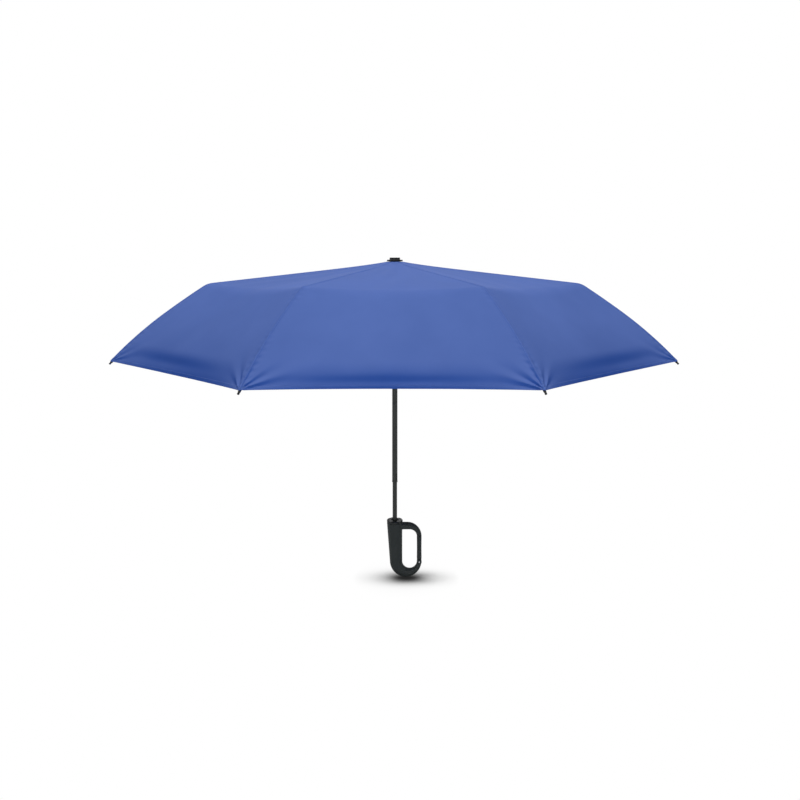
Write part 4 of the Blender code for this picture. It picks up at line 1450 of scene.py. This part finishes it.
        padded = np.pad(patch.cells, 1)
        for i, j in zip(*np.nonzero(patch.cells)):
            ring = ((i, j), (i + 1, j), (i + 1, j + 1), (i, j + 1))
            face([(0, *key) for key in ring], 0, True)
            face([(1, *key) for key in reversed(ring)], 1, True)
            beyond = (padded[i + 1, j], padded[i + 2, j + 1], padded[i + 1, j + 2], padded[i, j + 1])
            for start, end, covered in zip(ring, ring[1:] + ring[:1], beyond):
                if not covered:
                    face([(0, *end), (0, *start), (1, *start), (1, *end)], 0, False)
        mesh = meshed(bm, "cloth")
        keys = list(verts)
        custom = []
        for polygon in mesh.polygons:
            for side, i, j in (keys[index] for index in polygon.vertices):
                surface = Vector(normals[i, j]) * (-1 if side else 1)
                custom.append(surface if polygon.use_smooth else polygon.normal)
        mesh.normals_split_custom_set(custom)
        made = add_piece(patch.name, mesh, (CLOTH, CLOTH_INSIDE), None)
        self.follow(made, patch)
        return made

    def declare(self, patch: Patch) -> None:
        """Say what sheet a patch is, with its flat size and area.

        Args:
            patch: The patch.
        """
        places, cells = patch.of(self.grid.places), patch.cells
        a, b, c = places[:-1, :-1], places[1:, :-1], places[:-1, 1:]
        area = float(np.linalg.norm(np.cross(b - a, c - a), axis=-1)[cells].sum())
        steps_across = np.linalg.norm(np.diff(places, axis=1), axis=-1)[1:]
        steps_along = np.linalg.norm(np.diff(places, axis=0), axis=-1)[:, 1:]
        width = round(float((steps_across * cells).sum(axis=1).max()) + self.cut_edge, 3)
        length = round(float((steps_along * cells).sum(axis=0).max()) + self.cut_edge, 3)
        area = min(round(area, 6), width * length)
        LOG.info("sheet %s: flat %.3f x %.3f m, %.5f square metres", patch.name, width, length, area)
        patch.body

    def seam_bands(self, rib: int) -> list[bpy.types.Object]:
        """The stitched seam over a rib: three lengths over the hub and the folds, and a flat one on the
        middle rib.

        Args:
            rib: The rib's number.

        Returns:
            Its pieces.
        """
        form, line, seam = self.form, self.form.line, self.seam
        top, middle, outer = (f"{name}_rib_{rib}" for name in ("top", "middle", "outer"))
        flat_start, flat_end = line.top_length + line.middle_length / 2, line.straight - seam.flat_end
        reach = seam.fold_reach
        lengths = (
            ("hub", seam.hub_start, form.hub, (0.0, form.hub), "top_tube", top),
            ("upper", form.hub, flat_start, (line.top_length - reach, line.top_length + reach), top, middle),
            ("lower", flat_end, form.total - seam.hem_gap, (line.straight - reach, line.straight + reach),
             middle, outer),
        )
        made = []
        for name, start, end, bend, first, second in lengths:
            mesh = self.seam_mesh(rib, start, end)
            made.append(add_piece(f"{name}_seam_{rib}", mesh, (CLOTH, THREAD), None))
            bend_start, bend_end = (tuple(self.grid.on_rib(rib, along)[0]) for along in bend)
            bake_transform(made[-1])
        mesh = self.seam_mesh(rib, flat_start, flat_end)
        made.append(add_piece(f"shoulder_seam_{rib}", mesh, (CLOTH, THREAD), middle))
        outward = rib_matrix(rib).to_3x3() @ Vector((math.sin(line.slope), 0.0, math.cos(line.slope)))
        anchor = self.grid.on_rib(rib, (flat_start + flat_end) / 2)[0] - outward * seam.flat_drop
        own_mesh(made[-1])
        return made

    def seam_mesh(self, rib: int, start: float, end: float) -> bpy.types.Mesh:
        """A felled seam with two rows of stitches.

        Args:
            rib: The rib that it lies over.
            start: Where it starts, along the rib.
            end: Where it ends.

        Returns:
            Its mesh.
        """
        seam, grid = self.seam, self.grid
        count = max(2, int((end - start) / seam.ring_step[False]))
        sections = []
        for along in np.linspace(start, end, count + 1):
            half = seam.half_at(along)
            spots = [
                (grid.on_rib(rib, along, share * half), rise * seam.height) for share, rise in seam.profile
            ]
            sections.append([place + normal * rise for (place, normal), rise in spots])
        bm = loft(sections)
        for side in (-1, 1):
            along = start + seam.pitch
            while along < end - seam.pitch:
                off = side * seam.row_share * seam.half_at(along)
                first, normal = grid.on_rib(rib, along, off)
                last, _ = grid.on_rib(rib, along + seam.pitch * seam.stitch_share, off)
                seam.add_stitch(bm, first, last, normal * seam.lift)
                along += seam.pitch
        return smoothed(bm, "seam", 50.0, merge=False)

    def hem_stitches(self, patch: Patch) -> bpy.types.Object:
        """The row of stitches along the hem of one patch.

        Args:
            patch: The patch.

        Returns:
            The piece.
        """
        seam = self.seam
        row = self.grid.row_at(self.form.total - seam.hem_row)
        held = np.nonzero(patch.cells[-1])[0]
        columns = patch.columns[held[0] : held[-1] + 2]
        places, normals = self.grid.places[row, columns], self.grid.normals[row, columns]
        lengths = np.concatenate([[0.0], np.cumsum(np.linalg.norm(np.diff(places, axis=0), axis=-1))])
        pitch = seam.hem_pitch[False]
        bm = bmesh.new()
        for along in np.arange(0.0, lengths[-1] - pitch, pitch):
            ends = (along, along + seam.stitch_share * pitch)
            first, last = (
                Vector([np.interp(at, lengths, places[:, axis]) for axis in range(3)]) for at in ends
            )
            normal = Vector(normals[int(np.argmin(np.abs(lengths - along)))])
            seam.add_stitch(bm, first, last, normal * seam.hem_lift)
        mesh = smoothed(bm, "hem_stitches", None, merge=False)
        name = patch.name.replace("skirt_cloth", "hem_stitches")
        made = add_piece(name, mesh, (THREAD, THREAD), None)
        self.follow(made, patch)
        return made


# Fittings on the ribs


def dome(place: Vector, sign: int, size: float) -> bmesh.types.BMesh:
    """A low domed head that faces along Y.

    Args:
        place: The middle of its foot.
        sign: 1 where it faces along +Y, and -1 along -Y.
        size: Its radius.

    Returns:
        The head.
    """
    rise_share = 0.42
    angles = [math.pi / 8 * step for step in range(4)]
    outline = [(size * math.cos(angle), rise_share * size * math.sin(angle)) for angle in angles]
    head = spun(outline, 14, closed=False)
    head.transform(Matrix.Translation(place) @ Matrix.Rotation(-sign * math.pi / 2, 4, "X"))
    return head


@dataclass(frozen=True)
class RibFittings:
    """Tip pegs, rivets and thread ties, the same on every rib.

    Attributes:
        line: The ribs that they sit on.
        peg_profile: A peg's outline, as (radius, height) from the rib's end.
        peg_rounding: How far its corners are rounded.
        lashing_heights: Where the threads that hold the cloth to the peg lie on it.
        lashing_radius: The distance of those threads from the peg's axis.
        lashing_thread: Their own radius.
        pivot_head: How far the heads stand from a rib's middle at the stretcher and at the second fold, and
            their size.
        fold_head: The same at the first fold.
        heel_head: The same at the tie wire's heel, on one side only.
        tie_places: Where the ties sit, along the ribs.
        tie_steps: Where the turns of one tie lie.
        tie_half: Half the width and half the height of a turn.
        tie_rises: How much higher a turn reaches up to the cloth, on each rib.
        tie_thread: The thread's radius.
    """

    line: RibLine = field(default_factory=RibLine)
    peg_profile: Profile = (
        (0.0, -0.0062), (0.0016, -0.0062), (0.0017, -0.0030), (0.0019, -0.0012), (0.0019, 0.0002),
        (0.00152, 0.0011), (0.00143, 0.0026), (0.00160, 0.0033), (0.00145, 0.0041), (0.0009, 0.0045),
        (0.0, 0.0046),
    )
    peg_rounding: float = 0.0003
    lashing_heights: tuple[float, ...] = (-0.0022, -0.0017)
    lashing_radius: float = 0.00188
    lashing_thread: float = 0.0002
    pivot_head: tuple[float, float] = (0.0016, 0.0010)
    fold_head: tuple[float, float] = (0.0017, 0.0010)
    heel_head: tuple[float, float] = (0.0029, 0.0008)
    tie_places: tuple[float, float] = (0.12, 0.245)
    tie_steps: tuple[float, ...] = (-0.0004, 0.0001, 0.0006)
    tie_half: tuple[float, float] = (0.0021, 0.0020)
    tie_rises: tuple[float, float] = (0.0024, 0.0020)
    tie_thread: float = 0.00018

    def build(self) -> None:
        """Make the fittings of all eight ribs."""
        for rib in RIBS:
            self.tip(rib)
            self.rivets(rib)
            self.ties(rib)

    def tip(self, rib: int) -> None:
        """The peg on a rib's end that the cloth's corner is sewn to.

        Args:
            rib: The rib's number, from 1.
        """
        bm = spun(rounded(self.peg_profile, self.peg_rounding), 24)
        for height in self.lashing_heights:
            path = circle(self.lashing_radius, 16, height)
            add_wire(bm, path, self.lashing_thread, 5, closed=True, material=1)
        radius, height, slope = (float(value) for value in self.line.on_outer_rib(1.0, 0.0))
        turn = Vector((math.cos(slope), 0.0, -math.sin(slope))).to_track_quat("Z", "Y").to_matrix().to_4x4()
        bm.transform(rib_matrix(rib) @ Matrix.Translation((radius, 0.0, height)) @ turn)
        mesh = smoothed(bm, "tip")
        add_piece(f"tip_{rib}", mesh, (FRAME_PLASTIC, THREAD), f"outer_rib_{rib}")

    def rivets(self, rib: int) -> None:
        """Domed rivet heads on the pivots of one rib.

        Args:
            rib: The rib's number, from 1.
        """
        line = self.line
        fold = line.on_top_rib(line.top_length, line.fold_rise)
        second = line.on_top_rib(line.straight, -line.outer_drop)
        stretcher = line.on_top_rib(line.stretcher_place, -line.stretcher_drop)
        heel = line.on_top_rib(line.top_length - line.wire_heel, -line.wire_heel_drop)
        both, near = (-1, 1), (1,)
        groups = {
            "top_rib": ((stretcher, self.pivot_head, both), (heel, self.heel_head, near)),
            "middle_rib": ((fold, self.fold_head, both),),
            "outer_rib": ((second, self.pivot_head, both),),
        }
        for body, heads in groups.items():
            domes = [
                dome(Vector((radius, sign * side, height)), sign, size)
                for (radius, height), (side, size), signs in heads
                for sign in signs
            ]
            bm = joined(domes)
            bm.transform(rib_matrix(rib))
            mesh = smoothed(bm, "rivets")
            add_piece(f"{body}_rivets_{rib}", mesh, (BARE_STEEL,), f"{body}_{rib}")

    def ties(self, rib: int) -> None:
        """Thread loops that hold the seam to the ribs.

        Args:
            rib: The rib's number, from 1.
        """
        line = self.line
        half_width, half_height = self.tie_half
        for body, along, rise in zip(("top_rib", "middle_rib"), self.tie_places, self.tie_rises):
            bm = bmesh.new()
            for step in self.tie_steps:
                path = []
                for turn in circle(1.0, 20):
                    up = half_height + (rise if turn.y > 0.2 else 0.0)
                    path.append(Vector((step, half_width * turn.x, up * turn.y)))
                add_wire(bm, path, self.tie_thread, 5, closed=True)
            radius, height = line.on_top_rib(along, 0.0)
            place = Matrix.Translation((radius, 0.0, height)) @ Matrix.Rotation(line.slope, 4, "Y")
            bm.transform(rib_matrix(rib) @ place)
            add_piece(f"{body}_tie_{rib}", smoothed(bm, "tie"), (THREAD,), f"{body}_{rib}")


# Handle


@dataclass(frozen=True)
class HandleForm:
    """The handle's outline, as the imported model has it, sampled more closely."""

    top: float = 0.055
    top_radius: float = 0.0146
    crown_height: float = 0.0038
    crown_step: float = 0.0012
    crown_mouth: float = 0.0022
    crown_lip: float = 0.0030
    crown_rounding: float = 0.0005
    crown_edge: float = 0.00022
    pocket_radius: float = 0.0019
    pocket_place: float = 0.0126
    pocket_depth: float = 0.0028
    mouth_reach: float = 0.006
    back_inner: float = 0.0138
    front_inner: float = 0.0407
    inner_top: float = 0.017
    low_centre: float = 0.0758
    base_outer: float = 0.0092
    outer_radius: float = 0.0294
    outer_x: float = 0.0202
    outer_drop: float = 0.0753
    arm_top: float = 0.0041
    arm_turn: float = 0.0235
    arm_outer: float = 0.0262
    arm_inner: float = 0.013
    arm_root: float = 0.0004
    base_depth: float = 0.0105
    loop_depth: float = 0.0080
    bar_half: float = 0.0045
    bar_depth: float = 0.0054
    latch_drop: float = 0.0288
    latch_slant: float = math.radians(19.0)
    loop_end_turn: float = math.radians(172.0)
    gate_gap: float = 0.0004
    pivot_drop: float = 0.0765
    tongue_radius: float = 0.0040
    tongue_half: float = 0.0030
    neck_overlap: float = 0.002
    slot_gap: float = 0.0004
    pin_radius: float = 0.0010
    pin_clearance: float = 0.0003
    pin_head: float = 0.00135
    pin_head_sink: float = 0.0003
    waist: float = 0.05
    socket_radius: float = 0.0045
    socket_depth: float = 0.0453
    seat_gap: float = 0.0003
    section_steps: int = 56

    @property
    def bar_middle(self) -> float:
        """Distance of the gate's middle line from the shaft."""
        return self.front_inner + self.bar_half

    @property
    def pivot(self) -> Vector:
        """The middle of the gate's pin."""
        return Vector((self.bar_middle, 0.0, self.top - self.pivot_drop))

    def oval(self, outer: Sequence[float], inner: Sequence[float], depth: float) -> list[Vector]:
        """A section of the handle.

        Args:
            outer: Its outer end in the side view.
            inner: Its inner end there.
            depth: Half its size across that view.

        Returns:
            Its points.
        """
        a, b = Vector(outer), Vector(inner)
        middle, half = (a + b) / 2, (b - a) / 2
        section = []
        for turn in circle(1.0, self.section_steps):
            place = middle + half * turn.x
            section.append(Vector((place.x, depth * turn.y, self.top + place.y)))
        return section

    def column(self) -> list[list[Vector]]:
        """Sections of the grip's column and the round bottom of the loop.

        Returns:
            The sections, from the top.
        """
        start, base = -self.crown_height - self.seat_gap, -self.low_centre
        sections = []
        for share in np.linspace(0.0, 0.97, 26):
            height = start + (base - start) * share
            outer = (-(self.top_radius + (self.base_outer - self.top_radius) * share), height)
            inner = (self.top_radius + (self.back_inner - self.top_radius) * min(1.0, 4 * share), height)
            depth = self.top_radius + (self.base_depth - self.top_radius) * share
            sections.append(self.oval(outer, inner, depth))
        radius = (self.front_inner - self.back_inner) / 2
        inner_centre = Vector((self.back_inner + radius, base))
        outer_centre = Vector((self.outer_x, -self.outer_drop))
        depths = (self.base_depth, self.loop_depth, self.bar_depth)
        for share in np.linspace(0.0, 1.0, 44):
            angle = math.pi + self.loop_end_turn * share
            ray = Vector((math.cos(angle), math.sin(angle)))
            depth = float(np.interp(share, (0.0, 0.5, 1.0), depths))
            outer = outer_centre + self.outer_radius * ray
            sections.append(self.oval(outer, inner_centre + radius * ray, depth))
        return sections

    def arm(self) -> list[list[Vector]]:
        """Sections of the arm over the opening, down to the latch.

        Returns:
            The sections, from the column.
        """
        root, half = self.arm_root, self.arm_turn / 2
        sections = [
            self.oval((0.0, -self.arm_top - root), (0.0, -self.inner_top + root), self.loop_depth),
            self.oval((half, -self.arm_top), (half, -self.inner_top), self.loop_depth),
        ]
        outer_centre = Vector((self.arm_turn, -self.arm_top - self.arm_outer))
        inner_centre = Vector((self.front_inner - self.arm_inner, -self.inner_top - self.arm_inner))
        for share in np.linspace(0.0, 0.9, 19):
            angle = math.pi / 2 * (1 - share)
            ray = Vector((math.cos(angle), math.sin(angle)))
            depth = self.loop_depth + (self.bar_depth - self.loop_depth) * share
            outer, inner = outer_centre + self.arm_outer * ray, inner_centre + self.arm_inner * ray
            sections.append(self.oval(outer, inner, depth))
        return [*sections, self.latch(0.0)]

    def latch(self, gap: float) -> list[Vector]:
        """The slanted face between arm and gate, moved down by a gap."""
        rise = self.bar_half * math.tan(self.latch_slant)
        middle = -self.latch_drop - gap
        outer = (self.bar_middle + self.bar_half, middle - rise)
        inner = (self.bar_middle - self.bar_half, middle + rise)
        return self.oval(outer, inner, self.bar_depth)

    def bar(self) -> list[list[Vector]]:
        """Sections of the gate's bar, slimmer at its waist.

        Returns:
            The sections, from the latch.
        """
        start = self.latch_drop + self.gate_gap
        shoulder = self.pivot_drop - self.bar_half - self.slot_gap * 2
        sections = [self.latch(self.gate_gap)]
        for share in np.linspace(0.06, 1.0, 30):
            height = -(start + (shoulder - start) * share)
            half = self.bar_half * (1 - self.waist * math.sin(math.pi * share))
            outer, inner = (self.bar_middle + half, height), (self.bar_middle - half, height)
            sections.append(self.oval(outer, inner, self.bar_depth))
        return sections


@dataclass(frozen=True)
class Handle:
    """The grip with its loop, the crown over it, and the gate with its pin.

    Attributes:
        form: Its outline.
        grip_fineness: The fineness of the grip's skin, in a full and in a quick scene.
        gate_fineness: The same of the gate's.
    """

    form: HandleForm = field(default_factory=HandleForm)
    grip_fineness: tuple[float, float] = (0.00055, 0.0009)
    gate_fineness: tuple[float, float] = (0.00035, 0.0006)

    def build(self) -> None:
        """Make the handle's pieces in place of their nodes."""
        self.grip()
        self.crown()
        self.gate()
        self.pin_heads()

    def along_pin(self, half: float, radius: float) -> bmesh.types.BMesh:
        """A cylinder on the gate pin's axis."""
        side = Vector((0.0, half, 0.0))
        return cylinder(self.form.pivot - side, self.form.pivot + side, radius, 48)

    def pin_hole(self) -> bmesh.types.BMesh:
        """What the pin's hole takes away."""
        form = self.form
        return self.along_pin(form.bar_depth * 2, form.pin_radius + form.pin_clearance)

    def grip(self) -> None:
        """The column and loop as one moulding with soft inner corners."""
        form = self.form
        ends = [loft(form.arm()), self.along_pin(form.bar_depth, form.bar_half)]
        shape = boolean(loft(form.column()), ends, Joining.ADD)
        shape = melted(shape, self.grip_fineness[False], 6)
        top = Vector((0.0, 0.0, form.top))
        down = Vector((0.0, 0.0, -1.0))
        socket = cylinder(top + down * form.socket_depth, top, form.socket_radius, 48)
        rim = cylinder(top + down * (form.crown_height + form.seat_gap), top, form.top_radius * 2, 24)
        slot = self.along_pin(form.tongue_half + form.slot_gap, form.tongue_radius + 2 * form.slot_gap)
        shape = boolean(shape, [slot, self.pin_hole(), rim, socket], Joining.CUT)
        made = add_piece("grip_moulding", smoothed(shape, "grip", 32), (GRIP,), "handle")
        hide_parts("handle_grip")

    def crown(self) -> None:
        """The ring on top of the grip, notched for the eight tips."""
        form = self.form
        mouth_radius = form.socket_radius
        outline = (
            (form.top_radius, 0.0), (form.top_radius, -form.crown_height),
            (mouth_radius, -form.crown_height), (mouth_radius, -form.crown_step),
            (mouth_radius + form.crown_mouth, -form.crown_step), (mouth_radius + form.crown_lip, 0.0),
        )
        cutters = []
        over = 0.01
        for rib in RIBS:
            bottom = Vector((form.pocket_place, 0.0, -form.pocket_depth))
            size = (form.mouth_reach, 2 * form.pocket_radius, over)
            mouth = block(size, bottom + Vector((form.mouth_reach / 2, 0.0, over / 2)))
            for cutter in (cylinder(bottom, bottom + Vector((0, 0, over)), form.pocket_radius, 32), mouth):
                cutter.transform(rib_matrix(rib))
                cutters.append(cutter)
        shape = boolean(spun(rounded(outline, form.crown_rounding, 4), 128), cutters, Joining.CUT)
        shape = baked(shape, lambda work: soften(work, form.crown_edge, 45))
        shape.transform(Matrix.Translation((0.0, 0.0, form.top)))
        made = add_piece("crown_ring", smoothed(shape, "crown"), (CROWN,), "handle")
        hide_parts("tip_crown")

    def gate(self) -> None:
        """The sprung gate, a slim bar with a waist and a tongue at its hinge."""
        form = self.form
        tall = form.bar_half + form.neck_overlap
        size = (2 * form.tongue_radius, 2 * form.tongue_half, tall)
        neck = block(size, form.pivot + Vector((0, 0, tall / 2)))
        tongue = self.along_pin(form.tongue_half, form.tongue_radius)
        shape = boolean(loft(form.bar()), [tongue, neck], Joining.ADD)
        shape = melted(shape, self.gate_fineness[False], 3)
        shape = boolean(shape, [self.pin_hole()], Joining.CUT)
        made = add_piece("gate_bar", smoothed(shape, "gate", 32), (GRIP,), "carabiner_gate")
        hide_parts("carabiner_gate")

    def pin_heads(self) -> None:
        """The two domed ends of the gate's pin."""
        form = self.form
        out = Vector((0.0, form.bar_depth - form.pin_head_sink, 0.0))
        bm = joined([dome(form.pivot + out * sign, sign, form.pin_head) for sign in (-1, 1)])
        mesh = smoothed(bm, "pin heads")
        add_piece("gate_pin_heads", mesh, (BARE_STEEL,), "handle")


# Shaft and cap


@dataclass(frozen=True)
class Shaft:
    """Details on the tubes and the cap on their top end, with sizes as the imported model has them.

    Attributes:
        tubes: For the lower, middle and top tube, its radius.
        ends: For the middle and top tube, the height of its lower end.
        cap_base: Height of the cap's foot.
        cap_height: The cap's own height.
        cap_top: Radius of its top.
        cap_flange: Radius of its flange.
        cap_flange_height: The flange's height.
        cap_dish: Depth of the dish in its top.
        cap_dish_shares: Where the dish ends and its rim starts, as shares of the top's radius.
        cap_wall: Thickness of its top.
        bore_gap: How loose it sits on the tube.
        lip_tall: How far up a tube its rolled end reaches.
    """

    tubes: tuple[float, float, float] = (0.0042, 0.00495, 0.0057)
    ends: tuple[float, float] = (0.1255, 0.3215)
    cap_base: float = 0.5347
    cap_height: float = 0.0068
    cap_top: float = 0.0096
    cap_flange: float = 0.0147
    cap_flange_height: float = 0.0027
    cap_dish: float = 0.0004
    cap_dish_shares: tuple[float, float] = (0.55, 0.62)
    cap_wall: float = 0.002
    bore_gap: float = 0.0003
    lip_tall: float = 0.0022

    def build(self) -> None:
        """Make the cap and the rolled tube ends."""
        self.cap()
        lower, middle, top = self.tubes
        middle_end, top_end = self.ends
        self.lip("middle_tube", lower, middle, middle_end)
        self.lip("top_tube", middle, top, top_end)

    def cap(self) -> None:
        """The stepped cap that clamps the cloth to the top of the shaft."""
        flange, step, top, height = self.cap_flange, self.cap_flange_height, self.cap_top, self.cap_height
        bore, inside, dish = self.tubes[-1] + self.bore_gap, height - self.cap_wall, height - self.cap_dish
        dish_end, rim_start = (top * share for share in self.cap_dish_shares)
        outline = (
            (0.0, dish), (dish_end, dish), (rim_start, height), (top, height), (top + 0.0002, step + 0.0006),
            (top + 0.0007, step + 0.0001), (flange - 0.0005, step), (flange, step * 0.8), (flange, 0.0),
            (bore, 0.0), (bore, inside), (0.0, inside),
        )
        bm = spun(rounded(outline, 0.0005, 4), 96)
        bm.transform(Matrix.Translation((0.0, 0.0, self.cap_base)))
        mesh = smoothed(bm, "cap", 35)
        made = add_piece("cap_cover", mesh, (FRAME_PLASTIC,), "top_tube")
        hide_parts("ferrule_cap")

    def lip(self, body: str, inner: float, outer: float, height: float) -> None:
        """The rolled lower end of a tube.

        Args:
            body: The tube.
            inner: Radius of the tube in it.
            outer: Its own radius.
            height: Height of its lower end.
        """
        bead, gap, skin, under = 0.00022, 0.0002, 0.00002, -0.00015
        outline = (
            (outer + 0.00012, self.lip_tall), (outer + bead, 0.0016), (outer + bead, 0.0003),
            (outer - 0.0001, under), (inner + gap, under), (inner + gap, 0.0001), (outer + skin, 0.0008),
            (outer + skin, self.lip_tall),
        )
        bm = spun(rounded(outline, 0.0001, 2), 64)
        bm.transform(Matrix.Translation((0.0, 0.0, height)))
        add_piece(f"{body}_lip", smoothed(bm, "lip", 50), (BLACK_STEEL,), body)


def dress_nodes() -> None:
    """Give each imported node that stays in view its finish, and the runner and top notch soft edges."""
    for name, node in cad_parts.items():
        stem = name.rstrip("0123456789").rstrip("_")
        finish = NODE_FINISHES.get(name) or NODE_FINISHES.get(stem)
        if finish is None or node.hide_render:
            continue
        made = finish.build()
        if not node.material_slots:
            node.data.materials.append(made)
        for slot in node.material_slots:
            slot.material = made
        if stem in ("runner", "top_notch"):
            soften(node, 0.00025, 40)
        LOG.info("node %s: %s", name, finish.name)


# Stage, light and camera


@dataclass(frozen=True)
class SoftBox:
    """One area light that looks at a point."""

    name: str
    place: Point
    target: Point
    size: tuple[float, float]
    power: float

    def build(self) -> None:
        """Add the light."""
        data = bpy.data.lights.new(self.name, "AREA")
        data.shape = "RECTANGLE"
        data.size, data.size_y = self.size
        data.energy = self.power
        lamp = linked(self.name, data)
        lamp.location = self.place
        heading = Vector(self.target) - Vector(self.place)
        lamp.rotation_euler = heading.to_track_quat("-Z", "Y").to_euler()


@dataclass(frozen=True)
class Studio:
    """A white studio, lit from above, with a level camera at the canopy's height.

    Attributes:
        floor_height: Height of the floor.
        floor_half: Half the floor's width.
        camera_place: Where the camera stands.
        focal_pixels: Its focal length, in pixels of the photograph.
        horizon_pixels: How far the horizon lies below the photograph's upper edge.
        picture: The photograph's width.
        sensor: The camera's sensor width in millimetres.
        shadow_reach: How near the floor the object has to be to darken it.
        shadow_depth: Half the depth of the patch that darkens more.
        shadow_left: Where that patch starts, and how strong it is there.
        shadow_right: Where it is strongest, and how strong.
        lights: The lights.
    """

    floor_height: float = -0.0523
    floor_half: float = 30.0
    camera_place: Point = (0.0096, -1.313, 0.5259)
    focal_pixels: float = 707.8
    horizon_pixels: float = 266.0
    picture: float = 800.0
    sensor: float = 36.0
    shadow_reach: float = 0.075
    shadow_depth: float = 0.026
    shadow_left: tuple[float, float] = (-0.05, 3.4)
    shadow_right: tuple[float, float] = (0.07, 9.0)
    lights: tuple[SoftBox, ...] = (
        SoftBox("top box", (0.0, 0.0, 2.1), (0.0, 0.0, 0.5), (2.2, 2.2), 17.8),
        SoftBox("key box", (0.0, -2.0, 2.2), (0.0, 0.0, 0.45), (1.6, 0.8), 10.0),
        SoftBox("left box", (-1.8, -0.9, 2.3), (0.0, 0.0, 0.45), (0.8, 1.4), 12.0),
        SoftBox("right box", (1.8, -0.9, 2.3), (0.0, 0.0, 0.45), (0.8, 1.4), 12.0),
        SoftBox("front box", (0.0, -2.2, 0.35), (0.0, 0.0, 0.2), (0.6, 0.9), 8.5),
    )

    def build(self) -> None:
        """Add the floor, the light and the camera."""
        self.floor()
        self.world()
        for light in self.lights:
            light.build()
        self.camera()
        view = bpy.context.scene.view_settings
        view.view_transform = "Standard"
        view.look = "None"

    @staticmethod
    def show(tree: bpy.types.NodeTree, kind: str, unseen: bpy.types.Node, seen: bpy.types.Node) -> None:
        """Let a floor or world show one shader to the camera and light the object with another.

        Args:
            tree: Its node tree.
            kind: The type of its output node.
            unseen: The shader that lights the object.
            seen: The shader that is seen.
        """
        graph = Graph(tree)
        blend = graph.add("MixShader", {0: graph.seen(), 1: unseen.outputs[0], 2: seen.outputs[0]})
        graph.link(blend.outputs[0], graph.end(kind).inputs["Surface"])

    def floor(self) -> None:
        """A white floor that darkens only close under the handle."""
        bm = bmesh.new()
        bmesh.ops.create_grid(bm, x_segments=24, y_segments=24, size=self.floor_half)
        mesh = meshed(bm, "floor")
        floor = linked("floor", mesh)
        floor.location = (0.0, 0.0, self.floor_height)
        made = bpy.data.materials.new("floor")
        made.use_nodes = True
        graph = Graph(made.node_tree)
        made.node_tree.nodes.remove(made.node_tree.nodes["Principled BSDF"])
        near = graph.add("AmbientOcclusion", {"Distance": self.shadow_reach}, samples=24)
        split = graph.add("SeparateXYZ", {0: graph.add("TexCoord").outputs["Object"]}).outputs
        away = graph.math("MULTIPLY", split[1], 1 / self.shadow_depth)
        fade = graph.math("EXPONENT", graph.math("MULTIPLY", graph.math("MULTIPLY", away, away), -1.0))
        (left, weak), (right, strong) = self.shadow_left, self.shadow_right
        side = graph.add("MapRange", {0: split[0], 1: left, 2: right, 3: weak, 4: strong})
        power = graph.math("MULTIPLY_ADD", fade, side.outputs[0], 0.3)
        dark = graph.math("POWER", near.outputs["AO"], power)
        glow = graph.add("Emission", {0: graph.mix(dark, (0.02, 0.02, 0.02, 1), (1, 1, 1, 1)), 1: 1.0})
        plain = graph.add("BsdfDiffuse", {0: (0.42, 0.45, 0.48, 1)})
        self.show(made.node_tree, "OUTPUT_MATERIAL", plain, glow)
        mesh.materials.append(made)

    def world(self) -> None:
        """White to the camera, and a soft dome that is brighter above."""
        world = bpy.data.worlds.new("studio")
        bpy.context.scene.world = world
        world.use_nodes = True
        graph = Graph(world.node_tree)
        world.node_tree.nodes.remove(graph.end("BACKGROUND"))
        height = graph.add("SeparateXYZ", {0: graph.add("TexCoord").outputs["Generated"]}).outputs[2]
        rise = graph.add("MapRange", {0: height, 1: 0.1, 2: 0.9, 3: 0.0, 4: 1.0})
        dome_colour = graph.mix(rise.outputs[0], (0.028, 0.036, 0.050, 1), (0.30, 0.31, 0.34, 1))
        light = graph.add("Background", {0: dome_colour, 1: 1.0})
        white = graph.add("Background", {0: (1, 1, 1, 1), 1: 1.0})
        self.show(world.node_tree, "OUTPUT_WORLD", light, white)

    def camera(self) -> None:
        """The photograph's camera: level, and shifted down to take in the floor."""
        data = bpy.data.cameras.new("camera")
        data.sensor_fit = "HORIZONTAL"
        data.sensor_width = self.sensor
        data.lens = self.sensor * self.focal_pixels / self.picture
        data.shift_y = -(self.picture / 2 - self.horizon_pixels) / self.picture
        data.clip_end = 200.0
        camera = linked("camera", data)
        camera.location = self.camera_place
        camera.rotation_euler = (math.pi / 2, 0.0, 0.0)
        bpy.context.scene.camera = camera


def main() -> None:
    """Dress the umbrella and set up its picture."""
    logging.basicConfig(level=logging.INFO, format="%(name)s: %(message)s")
    Canopy().build()
    RibFittings().build()
    Handle().build()
    Shaft().build()
    dress_nodes()
    Studio().build()


if __name__ == "__main__":
    main()
